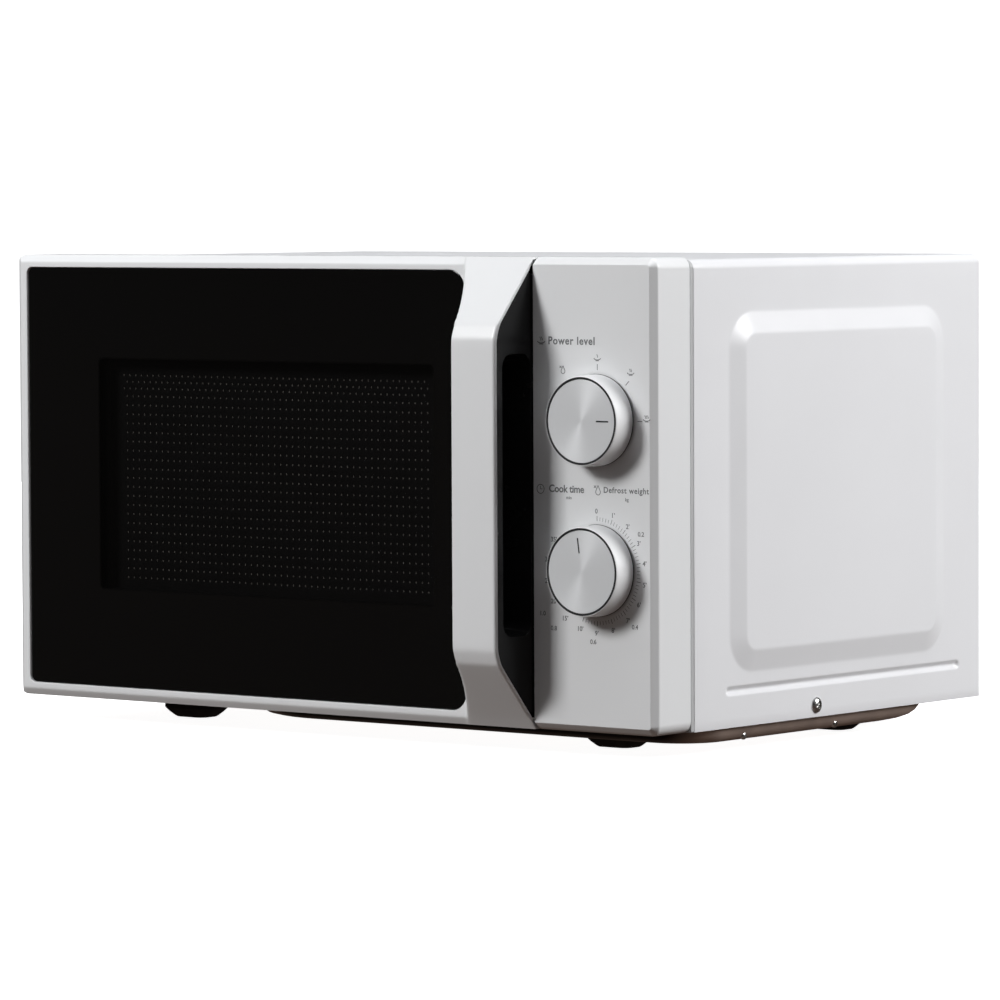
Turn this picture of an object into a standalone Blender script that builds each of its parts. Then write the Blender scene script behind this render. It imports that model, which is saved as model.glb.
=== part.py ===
"""A compact countertop microwave oven with a side-hung door, two dial knobs and a glass turntable.

Metres, +Z up, +X to the right, +Y to the back. The origin is the middle of the bounding box, on the
surface that the feet stand on. Shapes are written with y measured back from the control panel's face,
and every object hangs on one empty that puts that plane in its place.
"""

from math import cos, hypot, pi, radians, sin

import bmesh
import bpy
from mathutils import Matrix, Vector

# Overall size
WIDTH = 0.440
DEPTH = 0.340
HANDLE_REACH = 0.031
FRONT_PLANE = HANDLE_REACH - DEPTH / 2
REAR = DEPTH - HANDLE_REACH
HALF = WIDTH / 2
GAP = 0.0003
SHEET = 0.0008
PLATE = 0.001

# Cabinet cover
CABINET_TOP = 0.2540
CABINET_BOTTOM = 0.0139
CABINET_FRONT = 0.0333
CABINET_REAR = 0.2920
CABINET_CORNER = 0.005
EMBOSS_LOW = (0.0630, 0.0413)
EMBOSS_HIGH = (0.2580, 0.2273)
EMBOSS_CORNER = 0.020
EMBOSS_SLOPE = 0.012
EMBOSS_RISE = 0.003
GROOVE_LOW = (0.0601, 0.0302)
GROOVE_HIGH = (0.2724, 0.0352)
GROOVE_DEPTH = 0.0015
SIDE_SCREW_Y = 0.1397
SIDE_SCREW_Z = 0.0202
SCREW_HOLE = 0.0022

# Door and control panel share one front
FRONT_BOTTOM = 0.0137
FRONT_TOP = 0.2554
FRONT_DEPTH = 0.0304
FRONT_CORNER = 0.006
FRONT_CHAMFER = 0.0037
CHAMFER_DEPTH = 0.0045
DOOR_RIGHT = 0.1421
PANEL_LEFT = 0.1427
WALL = 0.0022

# Door glass
GLASS_LEFT = -0.2102
GLASS_RIGHT = 0.0980
GLASS_BOTTOM = 0.0207
GLASS_TOP = 0.2485
GLASS_FRONT = 0.0010
GLASS_THICK = 0.0032
GLASS_CORNERS = (0.0035, 0.010, 0.010, 0.0035)
FACE_THICK = 0.005

# Handle bar
BAR_TOP = 0.2533
BAR_BOTTOM = 0.0164
BAR_SLOPE = 0.887
BAR_LEFT_FRONT = 0.1136
BAR_SKIN = 0.0022
BAR_ROUND = 0.010

# Door hinge
HINGE_X = -0.2125
HINGE_Y = 0.0225
HINGE_UPPER_Z = 0.2285
HINGE_LOWER_Z = 0.0400
HINGE_ARM = 0.0015
PIN_RADIUS = 0.0020
PIN_LENGTH = 0.009
ARM_HALF = 0.0048
BARREL_RADIUS = 0.0040
REAR_CHAMFER = 0.004

# Door window
WINDOW_LEFT = -0.164
WINDOW_RIGHT = 0.079
WINDOW_BOTTOM = 0.068
WINDOW_TOP = 0.202
WINDOW_Y = 0.012
FLANGE_Y = 0.0276

# Latch
LATCH_X = 0.126
HOOK_WIDTH = 0.005
HOOK_HEIGHT = 0.012
HOOK_TIP = 0.058
HOOK_UPPER_Z = 0.186
HOOK_LOWER_Z = 0.082
LATCH_BAR_BACK = 0.022

# Cavity
CAVITY_X = -0.043
CAVITY_WIDTH = 0.310
CAVITY_FLOOR = 0.034
CAVITY_HEIGHT = 0.198
PLATE_Y = 0.0318
PLATE_HALF = 0.2185
PLATE_BOTTOM = 0.0150
PLATE_TOP = 0.2525
BAY_LOW = (0.1440, 0.0300)
BAY_HIGH = (0.2135, 0.2400)
CAVITY_FRONT = 0.0331
CAVITY_BACK = 0.288
CAVITY_LEFT = CAVITY_X - CAVITY_WIDTH / 2
CAVITY_RIGHT = CAVITY_X + CAVITY_WIDTH / 2
CAVITY_TOP = CAVITY_FLOOR + CAVITY_HEIGHT

# Turntable
TABLE_Y = 0.1605
TRAY_RADIUS = 0.1225
TRAY_THICK = 0.004
ROLLER_RADIUS = 0.007
ROLLER_TRACK = 0.096
ROLLER_WIDTH = 0.006
RING_INNER = 0.084
RING_OUTER = 0.090
ROLLER_Z = CAVITY_FLOOR + GAP + ROLLER_RADIUS
TRAY_Z = ROLLER_Z + ROLLER_RADIUS + GAP

# Knobs
KNOB_X = 0.1840
POWER_Z = 0.1730
TIMER_Z = 0.0968
KNOB_BASE_RADIUS = 0.0235
KNOB_FACE_RADIUS = 0.0217
KNOB_HEIGHT = 0.0140
KNOB_CLEARANCE = 0.0006
SHAFT_RADIUS = 0.003

# Base
PAN_BOTTOM = 0.006
PAN_RISE = 0.0145
PAN_TOP = 0.026
FOOT_FRONT = (0.151, 0.066)
FOOT_REAR = (0.184, 0.212)

# Fan
FAN_X = 0.166
FAN_Z = 0.152
FAN_Y = 0.268
FAN_RADIUS = 0.036
FAN_BLADES = 6

# Lamp and cord gland
LAMP_Y = 0.222
GLAND_X = 0.188
GLAND_Z = 0.040

ROUND = 32


def clear_scene():
    for item in list(bpy.data.objects):
        bpy.data.objects.remove(item, do_unlink=True)


def material(name, color, roughness, metallic=0.0, alpha=1.0):
    made = bpy.data.materials.new(name)
    made.use_nodes = True
    shader = made.node_tree.nodes["Principled BSDF"]
    shader.inputs["Base Color"].default_value = (*color, 1.0)
    shader.inputs["Roughness"].default_value = roughness
    shader.inputs["Metallic"].default_value = metallic
    shader.inputs["Alpha"].default_value = alpha
    made.diffuse_color = (*color, alpha)
    return made


def make_materials():
    return {
        "enamel": material("white_enamel", (0.84, 0.85, 0.86), 0.35),
        "white": material("white_plastic", (0.82, 0.83, 0.84), 0.35),
        "black": material("black_plastic", (0.012, 0.012, 0.013), 0.3),
        "gloss": material("gloss_black", (0.008, 0.008, 0.009), 0.08),
        "glass": material("dark_glass", (0.01, 0.01, 0.012), 0.03, 0.0, 0.6),
        "clear": material("clear_film", (0.8, 0.82, 0.82), 0.1, 0.0, 0.4),
        "steel": material("zinc_steel", (0.55, 0.55, 0.54), 0.4, 1.0),
        "painted": material("cavity_enamel", (0.62, 0.63, 0.62), 0.4),
        "dark_steel": material("dark_painted_steel", (0.05, 0.05, 0.052), 0.45),
        "spun": material("spun_aluminium", (0.78, 0.79, 0.80), 0.28, 1.0),
        "silver": material("silver_plastic", (0.70, 0.71, 0.72), 0.3, 0.5),
        "copper": material("enamelled_copper", (0.50, 0.22, 0.10), 0.4, 1.0),
        "mica": material("mica_board", (0.55, 0.48, 0.38), 0.6),
        "board": material("circuit_board", (0.35, 0.25, 0.10), 0.6),
        "rubber": material("black_rubber", (0.02, 0.02, 0.02), 0.7),
        "nylon": material("natural_nylon", (0.75, 0.74, 0.70), 0.5),
        "bulb": material("lamp_glass", (0.9, 0.9, 0.85), 0.1, 0.0, 0.5),
    }


def make_frame():
    frame = bpy.data.objects.new("oven_frame", None)
    frame.location = (0, FRONT_PLANE, 0)
    frame.empty_display_size = 0.05
    bpy.context.scene.collection.objects.link(frame)
    return frame


def finish(name, mesh_builder):
    bmesh.ops.recalc_face_normals(mesh_builder, faces=mesh_builder.faces)
    mesh = bpy.data.meshes.new(name)
    mesh_builder.to_mesh(mesh)
    mesh_builder.free()
    made = bpy.data.objects.new(name, mesh)
    bpy.context.scene.collection.objects.link(made)
    return made


def box(low, high, name="block"):
    builder = bmesh.new()
    bmesh.ops.create_cube(builder, size=1.0)
    size = [b - a for a, b in zip(low, high)]
    middle = [(a + b) / 2 for a, b in zip(low, high)]
    placed = Matrix.Translation(middle) @ Matrix.Diagonal((*size, 1.0))
    bmesh.ops.transform(builder, matrix=placed, verts=builder.verts)
    return finish(name, builder)


def bridge(builder, first, second):
    count = len(first)
    for i in range(count):
        j = (i + 1) % count
        builder.faces.new((first[i], first[j], second[j], second[i]))


def loft(loops, name="loft"):
    """A closed solid through loops of equal length, capped at both ends."""
    builder = bmesh.new()
    rows = [[builder.verts.new(point) for point in loop] for loop in loops]
    for first, second in zip(rows, rows[1:]):
        bridge(builder, first, second)
    builder.faces.new(rows[0])
    builder.faces.new(rows[-1])
    return finish(name, builder)


def ring_loft(loops, name="ring"):
    """A closed ring whose last loop joins the first one."""
    builder = bmesh.new()
    rows = [[builder.verts.new(point) for point in loop] for loop in loops]
    for first, second in zip(rows, rows[1:] + rows[:1]):
        bridge(builder, first, second)
    return finish(name, builder)


def on_axis(axis, u, v, along):
    """A point from two coordinates across an axis and one along it."""
    if axis == "x":
        return (along, u, v)
    if axis == "y":
        return (u, along, v)
    return (u, v, along)


def prism(outline, axis, start, end, name="prism"):
    loops = [[on_axis(axis, u, v, along) for u, v in outline] for along in (start, end)]
    return loft(loops, name)


def rounded(low, high, corners, steps=5):
    """A rectangle from low to high with four corner radii, from the low corner counter-clockwise."""
    if not isinstance(corners, tuple):
        corners = (corners,) * 4
    turns = ((low[0], low[1], 1, 1, pi), (high[0], low[1], -1, 1, 1.5 * pi),
             (high[0], high[1], -1, -1, 0.0), (low[0], high[1], 1, -1, 0.5 * pi))
    points = []
    for (u, v, du, dv, start), radius in zip(turns, corners):
        for k in range(steps + 1):
            angle = start + k / steps * pi / 2
            points.append((u + du * radius + radius * cos(angle), v + dv * radius + radius * sin(angle)))
    return points


def turned(profile, centre, axis="z", steps=ROUND, name="turned"):
    """A closed profile of (radius, height) turned about an axis; zero radii become single points."""
    builder = bmesh.new()
    angles = [2 * pi * k / steps for k in range(steps)]
    rows = []
    for radius, height in profile:
        if radius == 0:
            rows.append([builder.verts.new(on_axis(axis, 0, 0, height))])
            continue
        circle = [on_axis(axis, radius * cos(a), radius * sin(a), height) for a in angles]
        rows.append([builder.verts.new(point) for point in circle])
    for first, second in zip(rows, rows[1:] + rows[:1]):
        if len(first) == 1 and len(second) == 1:
            continue
        if len(first) == 1 or len(second) == 1:
            point = first[0] if len(first) == 1 else second[0]
            circle = second if len(first) == 1 else first
            for k in range(steps):
                builder.faces.new((circle[k], circle[(k + 1) % steps], point))
        else:
            bridge(builder, first, second)
    bmesh.ops.translate(builder, vec=centre, verts=builder.verts)
    return finish(name, builder)


def cylinder(centre, radius, length, axis="z", steps=ROUND):
    """A cylinder that starts at centre and runs length along an axis."""
    return turned([(0, 0), (radius, 0), (radius, length), (0, length)], centre, axis, steps)


def combined(target, others, operation):
    """The target after a Boolean with each of the others, which are used up."""
    for other in others:
        step = target.modifiers.new(operation.lower(), "BOOLEAN")
        step.operation = operation
        step.solver = "EXACT"
        step.object = other
    graph = bpy.context.evaluated_depsgraph_get()
    mesh = bpy.data.meshes.new_from_object(target.evaluated_get(graph))
    target.modifiers.clear()
    target.data = mesh
    for other in others:
        bpy.data.objects.remove(other, do_unlink=True)
    return target


def cut(target, cutters):
    return combined(target, cutters, "DIFFERENCE")


def join(target, others):
    return combined(target, others, "UNION")


def moved(item, matrix):
    item.data.transform(matrix)
    return item


def place(item, name, look, frame, pivot=(0, 0, 0), smooth=True):
    """Names a finished piece, sets its origin on its axis and hangs it on the frame."""
    item.name = name
    item.data.name = name
    item.data.materials.clear()
    item.data.materials.append(look)
    item.data.transform(Matrix.Translation(-Vector(pivot)))
    item.parent = frame
    item.location = pivot
    if smooth:
        item.data.shade_smooth()
        item.data.set_sharp_from_angle(angle=radians(30))
    return item


def in_plane_y(outline, y):
    return [(x, y, z) for x, z in outline]


def in_plane_z(outline, z):
    return [(x, y, z) for x, y in outline]


def in_plane_x(outline, x):
    return [(x, y, z) for y, z in outline]


# Cabinet ---------------------------------------------------------------------------------------------


def emboss(side, skin):
    """The raised panel of one side as a solid, or its inner face when skin is the sheet's thickness."""
    base = rounded((EMBOSS_LOW[0] + skin, EMBOSS_LOW[1] + skin),
                   (EMBOSS_HIGH[0] - skin, EMBOSS_HIGH[1] - skin), EMBOSS_CORNER, 4)
    low = (EMBOSS_LOW[0] + EMBOSS_SLOPE + skin, EMBOSS_LOW[1] + EMBOSS_SLOPE + skin)
    high = (EMBOSS_HIGH[0] - EMBOSS_SLOPE - skin, EMBOSS_HIGH[1] - EMBOSS_SLOPE - skin)
    top = rounded(low, high, EMBOSS_CORNER - EMBOSS_SLOPE / 2, 4)
    inner = HALF - SHEET - skin
    loops = [in_plane_x(base, side * inner), in_plane_x(base, side * (HALF - skin)),
             in_plane_x(top, side * (HALF + EMBOSS_RISE - skin))]
    return loft(loops)


def side_screw_hole(side):
    start = (side * (HALF - 0.006), SIDE_SCREW_Y, SIDE_SCREW_Z)
    return cylinder(start, SCREW_HOLE, side * 0.010, "x", 12)


def make_cabinet(frame, looks):
    outer = rounded((-HALF, CABINET_BOTTOM), (HALF, CABINET_TOP),
                    (0.0, 0.0, CABINET_CORNER, CABINET_CORNER))
    inner_corner = CABINET_CORNER - SHEET
    inner = rounded((-HALF + SHEET, CABINET_BOTTOM - 0.01), (HALF - SHEET, CABINET_TOP - SHEET),
                    (0.0, 0.0, inner_corner, inner_corner))
    outer = list(dict.fromkeys(outer))
    inner = list(dict.fromkeys(inner))
    cover = prism(outer, "y", CABINET_FRONT, CABINET_REAR)
    cut(cover, [prism(inner, "y", CABINET_FRONT - 0.01, CABINET_REAR + 0.01)])
    for side in (-1, 1):
        join(cover, [emboss(side, 0.0)])
        cut(cover, [emboss(side, SHEET)])
        wall = sorted((side * (HALF - SHEET - GROOVE_DEPTH), side * (HALF - SHEET / 2)))
        rib_low = (wall[0], GROOVE_LOW[0] - SHEET, GROOVE_LOW[1] - SHEET)
        rib_high = (wall[1], GROOVE_HIGH[0] + SHEET, GROOVE_HIGH[1] + SHEET)
        join(cover, [box(rib_low, rib_high)])
        groove = sorted((side * (HALF - GROOVE_DEPTH), side * (HALF + 0.001)))
        cut(cover, [box((groove[0], *GROOVE_LOW), (groove[1], *GROOVE_HIGH))])
        cut(cover, [side_screw_hole(side)])
    place(cover, "cabinet_cover", looks["enamel"], frame)


def make_side_screws(frame, looks):
    profile = [(0, -0.006), (0.0018, -0.006), (0.0018, GAP), (0.0042, GAP), (0.0042, 0.0009),
               (0.0030, 0.0021), (0, 0.0024)]
    for side, word in ((-1, "left"), (1, "right")):
        along = [(radius, side * height) for radius, height in profile]
        screw = turned(along, (side * HALF, SIDE_SCREW_Y, SIDE_SCREW_Z), "x", 16)
        place(screw, f"side_screw_{word}", looks["steel"], frame)


def pan_rectangle(inset, corner, z, skin):
    low = (-HALF + inset + skin, CABINET_FRONT + inset + skin)
    high = (HALF - inset - skin, CABINET_REAR - inset - skin)
    return in_plane_z(rounded(low, high, corner, 3), z)


def make_base_pan(frame, looks):
    loops = [pan_rectangle(0.0100, 0.010, PAN_BOTTOM, 0), pan_rectangle(0.0030, 0.008, PAN_RISE, 0),
             pan_rectangle(0.0017, 0.008, PAN_RISE + 0.001, 0), pan_rectangle(0.0017, 0.008, PAN_TOP, 0),
             pan_rectangle(0.0017, 0.007, PAN_TOP, PLATE),
             pan_rectangle(0.0017, 0.007, PAN_RISE + 0.002, PLATE),
             pan_rectangle(0.0032, 0.007, PAN_RISE + 0.0006, PLATE),
             pan_rectangle(0.0102, 0.009, PAN_BOTTOM + PLATE, PLATE)]
    pan = loft(loops)
    slots = [box((0.120 + 0.012 * k, 0.225, 0), (0.125 + 0.012 * k, 0.262, 0.01)) for k in range(6)]
    slots += [box((0.120 + 0.012 * k, 0.060, 0), (0.125 + 0.012 * k, 0.100, 0.01)) for k in range(4)]
    slots += [side_screw_hole(side) for side in (-1, 1)]
    cut(pan, slots)
    place(pan, "base_pan", looks["steel"], frame)


def make_feet(frame, looks):
    top = PAN_BOTTOM - GAP
    for front, (x, y) in (("front", FOOT_FRONT), ("rear", FOOT_REAR)):
        for side, word in ((-1, "left"), (1, "right")):
            loops = []
            for half_x, half_y, z in ((0.011, 0.008, 0.0), (0.0125, 0.0095, 0.0008), (0.021, 0.0155, top)):
                low = (side * x - half_x, y - half_y)
                high = (side * x + half_x, y + half_y)
                loops.append(in_plane_z(rounded(low, high, 0.005, 3), z))
            place(loft(loops), f"foot_{front}_{word}", looks["rubber"], frame)


def make_rear_panel(frame, looks):
    low = (-HALF + SHEET + GAP, 0.0150)
    high = (HALF - SHEET - GAP, CABINET_TOP - SHEET - GAP)
    back = CABINET_REAR - 0.0005
    outline = rounded(low, high, (0.002, 0.002, 0.004, 0.004), 3)
    panel = prism(outline, "y", back - SHEET, back)
    slope = 0.012
    for skin, operation in ((0.0, join), (SHEET, cut)):
        base_low = (CAVITY_X - 0.130 + skin, 0.050 + skin)
        base_high = (CAVITY_X + 0.130 - skin, 0.215 - skin)
        top_low = (base_low[0] + slope, base_low[1] + slope)
        top_high = (base_high[0] - slope, base_high[1] - slope)
        base = rounded(base_low, base_high, 0.020, 4)
        top = rounded(top_low, top_high, 0.014, 4)
        bulge = [in_plane_y(base, back - SHEET - skin), in_plane_y(base, back - skin),
                 in_plane_y(top, REAR - skin)]
        operation(panel, [loft(bulge)])
    slots = []
    for row in range(3):
        for k in range(9):
            x = 0.122 + 0.010 * k
            z = 0.115 + 0.028 * row
            slots.append(box((x, back - 0.01, z), (x + 0.005, back + 0.01, z + 0.021)))
    for k in range(6):
        z = 0.100 + 0.014 * k
        slots.append(box((-0.205, back - 0.01, z), (-0.185, back + 0.01, z + 0.005)))
    slots.append(cylinder((GLAND_X, back - 0.01, GLAND_Z), 0.0085, 0.02, "y", 20))
    cut(panel, slots)
    place(panel, "rear_panel", looks["steel"], frame)


def make_cord_gland(frame, looks):
    back = CABINET_REAR - 0.0005
    profile = [(0.0045, -0.006), (0.0098, -0.006), (0.0098, -SHEET - GAP), (0.0081, -SHEET - GAP),
               (0.0081, GAP), (0.0115, GAP), (0.0115, 0.003), (0.0090, 0.005), (0.0065, 0.013),
               (0.0045, 0.013)]
    place(turned(profile, (GLAND_X, back, GLAND_Z), "y", 16), "cord_gland", looks["rubber"], frame)


# Cavity ----------------------------------------------------------------------------------------------


def hook_passage(z, y):
    """A hole that a latch hook goes through, with room for its lift."""
    low = (LATCH_X - 0.0055, y - 0.01, z - 0.015)
    high = (LATCH_X + 0.0075, y + 0.01, z + 0.015)
    return box(low, high)


def make_front_plate(frame, looks):
    outline = rounded((-PLATE_HALF, PLATE_BOTTOM), (PLATE_HALF, PLATE_TOP), 0.003, 2)
    plate = prism(outline, "y", PLATE_Y, PLATE_Y + PLATE)
    cavity = rounded((CAVITY_LEFT, CAVITY_FLOOR), (CAVITY_RIGHT, CAVITY_TOP), 0.004, 3)
    bay = rounded(BAY_LOW, BAY_HIGH, 0.004, 3)
    cutters = [prism(opening, "y", PLATE_Y - 0.01, PLATE_Y + 0.01) for opening in (cavity, bay)]
    cutters += [hook_passage(z, PLATE_Y) for z in (HOOK_UPPER_Z, HOOK_LOWER_Z)]
    cut(plate, cutters)
    place(plate, "front_plate", looks["painted"], frame)


def make_cavity(frame, looks):
    low = (CAVITY_LEFT - PLATE, CAVITY_FLOOR - PLATE)
    high = (CAVITY_RIGHT + PLATE, CAVITY_TOP + PLATE)
    square = 3
    around = rounded(low, high, (0.0, 0.0, 0.007, 0.007), 3)[square:]
    shell = prism(around, "y", CAVITY_FRONT, CAVITY_BACK - GAP)
    inside = rounded((CAVITY_LEFT, CAVITY_FLOOR - 0.01), (CAVITY_RIGHT, CAVITY_TOP),
                     (0.0, 0.0, 0.006, 0.006), 3)[square:]
    cutters = [prism(inside, "y", CAVITY_FRONT - 0.01, CAVITY_BACK + 0.01)]
    cutters.append(box((CAVITY_RIGHT - 0.005, 0.105, 0.160), (CAVITY_RIGHT + 0.005, 0.185, 0.205)))
    for k in range(4):
        y = LAMP_Y - 0.0105 + 0.006 * k
        cutters.append(box((CAVITY_RIGHT - 0.005, y, 0.196), (CAVITY_RIGHT + 0.005, y + 0.003, 0.216)))
    for cutter in cutters:
        cut(shell, [cutter])
    place(shell, "cavity_shell", looks["painted"], frame)
    floor = box((CAVITY_LEFT + GAP, CAVITY_FRONT, CAVITY_FLOOR - PLATE),
                (CAVITY_RIGHT - GAP, CAVITY_BACK - GAP, CAVITY_FLOOR))
    cut(floor, [cylinder((CAVITY_X, TABLE_Y, CAVITY_FLOOR - 0.01), 0.008, 0.02, "z", 20)])
    place(floor, "cavity_floor", looks["painted"], frame)
    back_outline = rounded(low, high, (0.001, 0.001, 0.007, 0.007), 3)
    back = prism(back_outline, "y", CAVITY_BACK, CAVITY_BACK + PLATE)
    place(back, "cavity_back", looks["painted"], frame)


def make_waveguide(frame, looks):
    start = CAVITY_RIGHT + PLATE + GAP
    duct = box((start, 0.095, 0.150), (start + 0.022, 0.195, 0.215))
    hollow = box((start - 0.01, 0.0965, 0.1515), (start + 0.0205, 0.1935, 0.2135))
    antenna_hole = cylinder((start + 0.01, 0.145, 0.182), 0.011, 0.02, "x", 20)
    cut(duct, [hollow, antenna_hole])
    place(duct, "waveguide", looks["steel"], frame)
    cover = prism(rounded((0.098, 0.154), (0.192, 0.211), 0.004, 2), "x",
                  CAVITY_RIGHT - GAP - 0.0006, CAVITY_RIGHT - GAP)
    place(cover, "waveguide_cover", looks["mica"], frame)


def make_magnetron(frame, looks):
    left = CAVITY_RIGHT + PLATE + 0.0225
    core = box((left + GAP, 0.108, 0.145), (left + 0.003, 0.182, 0.219))
    bottom = box((left + 0.060, 0.108, 0.145), (left + 0.063, 0.182, 0.219))
    top = box((left + 0.001, 0.108, 0.2165), (left + 0.062, 0.182, 0.219))
    under = box((left + 0.001, 0.108, 0.145), (left + 0.062, 0.182, 0.1475))
    tube = cylinder((left + 0.002, 0.145, 0.182), 0.020, 0.060, "x", 20)
    fins = []
    for k in range(5):
        x = left + 0.010 + 0.009 * k
        fins.append(box((x, 0.112, 0.146), (x + 0.0015, 0.178, 0.218)))
    stub = cylinder((left - 0.0205, 0.145, 0.182), 0.0075, 0.0215, "x", 16)
    cap = box((left + 0.062, 0.128, 0.165), (left + 0.080, 0.162, 0.199))
    place(join(core, [bottom, top, under, tube, *fins, stub, cap]), "magnetron", looks["steel"], frame)


def make_transformer(frame, looks):
    low = Vector((0.124, 0.122, 0.0085))
    high = Vector((0.206, 0.188, 0.084))
    core = box(low, high)
    windows = []
    for z in (0.024, 0.052):
        windows.append(box((low.x + 0.014, low.y - 0.01, z), (high.x - 0.014, high.y + 0.01, z + 0.018)))
    cut(core, windows)
    place(core, "transformer_core", looks["dark_steel"], frame)
    outer_low = (low.x + 0.0145, low.y - 0.016)
    outer_high = (high.x - 0.0145, high.y + 0.016)
    outline = rounded(outer_low, outer_high, 0.012, 3)
    winding = prism(outline, "z", 0.0245, 0.0695)
    bar = box((low.x, low.y - GAP, 0.0417), (high.x, high.y + GAP, 0.0523))
    cut(winding, [bar])
    place(winding, "transformer_winding", looks["copper"], frame)


def make_capacitor(frame, looks):
    can = prism(rounded((0.1200, 0.009), (0.1520, 0.059), 0.0155, 5), "y", 0.2120, 0.2560)
    terminals = [box((0.1325, 0.2550, z), (0.1395, 0.2640, z + 0.001)) for z in (0.024, 0.044)]
    place(join(can, terminals), "capacitor", looks["spun"], frame)
    body = box((0.1600, 0.2400, 0.0085), (0.1680, 0.2570, 0.0160))
    place(body, "high_voltage_diode", looks["black"], frame)


def make_filter_board(frame, looks):
    board = box((0.1300, 0.2800, 0.050), (0.2100, 0.2816, 0.098))
    coil = cylinder((0.1500, 0.2702, 0.075), 0.012, 0.010, "y", 16)
    block = box((0.1750, 0.2680, 0.060), (0.2000, 0.2801, 0.088))
    place(join(board, [coil, block]), "filter_board", looks["board"], frame)


# Fan -------------------------------------------------------------------------------------------------


def make_fan(frame, looks):
    centre = (FAN_X, FAN_Y, FAN_Z)
    outline = rounded((FAN_X - 0.046, FAN_Z - 0.046), (FAN_X + 0.046, FAN_Z + 0.046), 0.006, 2)
    shroud = prism(outline, "y", FAN_Y - 0.008, FAN_Y - 0.006)
    duct = cylinder((FAN_X, FAN_Y - 0.0075, FAN_Z), FAN_RADIUS + 0.0045, 0.0205, "y")
    join(shroud, [duct])
    cut(shroud, [cylinder((FAN_X, FAN_Y - 0.02, FAN_Z), FAN_RADIUS + 0.0025, 0.05, "y")])
    arm_y = FAN_Y + 0.0095
    arms = [box((FAN_X - 0.043, arm_y, FAN_Z - 0.003), (FAN_X + 0.043, arm_y + 0.003, FAN_Z + 0.003))]
    arms.append(cylinder((FAN_X, arm_y, FAN_Z), 0.012, 0.003, "y", 20))
    for arm in arms:
        join(shroud, [arm])
    cut(shroud, [cylinder((FAN_X, FAN_Y, FAN_Z), 0.0019, 0.02, "y", 12)])
    place(shroud, "fan_shroud", looks["black"], frame)
    hub = cylinder((0, -0.007, 0), 0.010, 0.014, "y", 24)
    blades = []
    for k in range(FAN_BLADES):
        blade = box((0.008, -0.0006, -0.009), (FAN_RADIUS, 0.0006, 0.009))
        moved(blade, Matrix.Rotation(radians(35), 4, "X"))
        moved(blade, Matrix.Rotation(2 * pi * k / FAN_BLADES, 4, "Y"))
        blades.append(blade)
    shaft = cylinder((0, -0.020, 0), 0.0015, 0.0295, "y", 12)
    impeller = join(hub, [*blades, shaft])
    moved(impeller, Matrix.Translation(centre))
    place(impeller, "fan_impeller", looks["black"], frame, centre)
    core = box((FAN_X - 0.025, FAN_Y - 0.040, FAN_Z - 0.024),
               (FAN_X + 0.025, FAN_Y - 0.024, FAN_Z + 0.024))
    coil = box((FAN_X - 0.014, FAN_Y - 0.044, FAN_Z - 0.040),
               (FAN_X + 0.014, FAN_Y - 0.020, FAN_Z - 0.020))
    join(core, [coil])
    cut(core, [cylinder((FAN_X, FAN_Y - 0.05, FAN_Z), 0.0022, 0.035, "y", 12)])
    legs = []
    for side in (-1, 1):
        x = FAN_X + side * 0.022
        leg_low = (x - 0.002, FAN_Y - 0.0255, FAN_Z - 0.004)
        legs.append(box(leg_low, (x + 0.002, FAN_Y - 0.0083, FAN_Z + 0.004)))
    join(core, legs)
    place(core, "fan_motor", looks["steel"], frame)


def make_lamp(frame, looks):
    x = CAVITY_RIGHT + PLATE + 0.0135
    profile = [(0, 0), (0.0052, 0), (0.0052, 0.006), (0.0105, 0.018), (0.0105, 0.026), (0.007, 0.034),
               (0, 0.036)]
    bulb = turned([(r, -h) for r, h in profile], (x, LAMP_Y, 0.2315), "z", 20)
    place(bulb, "cavity_lamp", looks["bulb"], frame)
    holder = box((CAVITY_RIGHT + PLATE + GAP, LAMP_Y - 0.014, 0.232), (x + 0.013, LAMP_Y + 0.014, 0.246))
    place(holder, "lamp_holder", looks["nylon"], frame)


# Turntable -------------------------------------------------------------------------------------------


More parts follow.
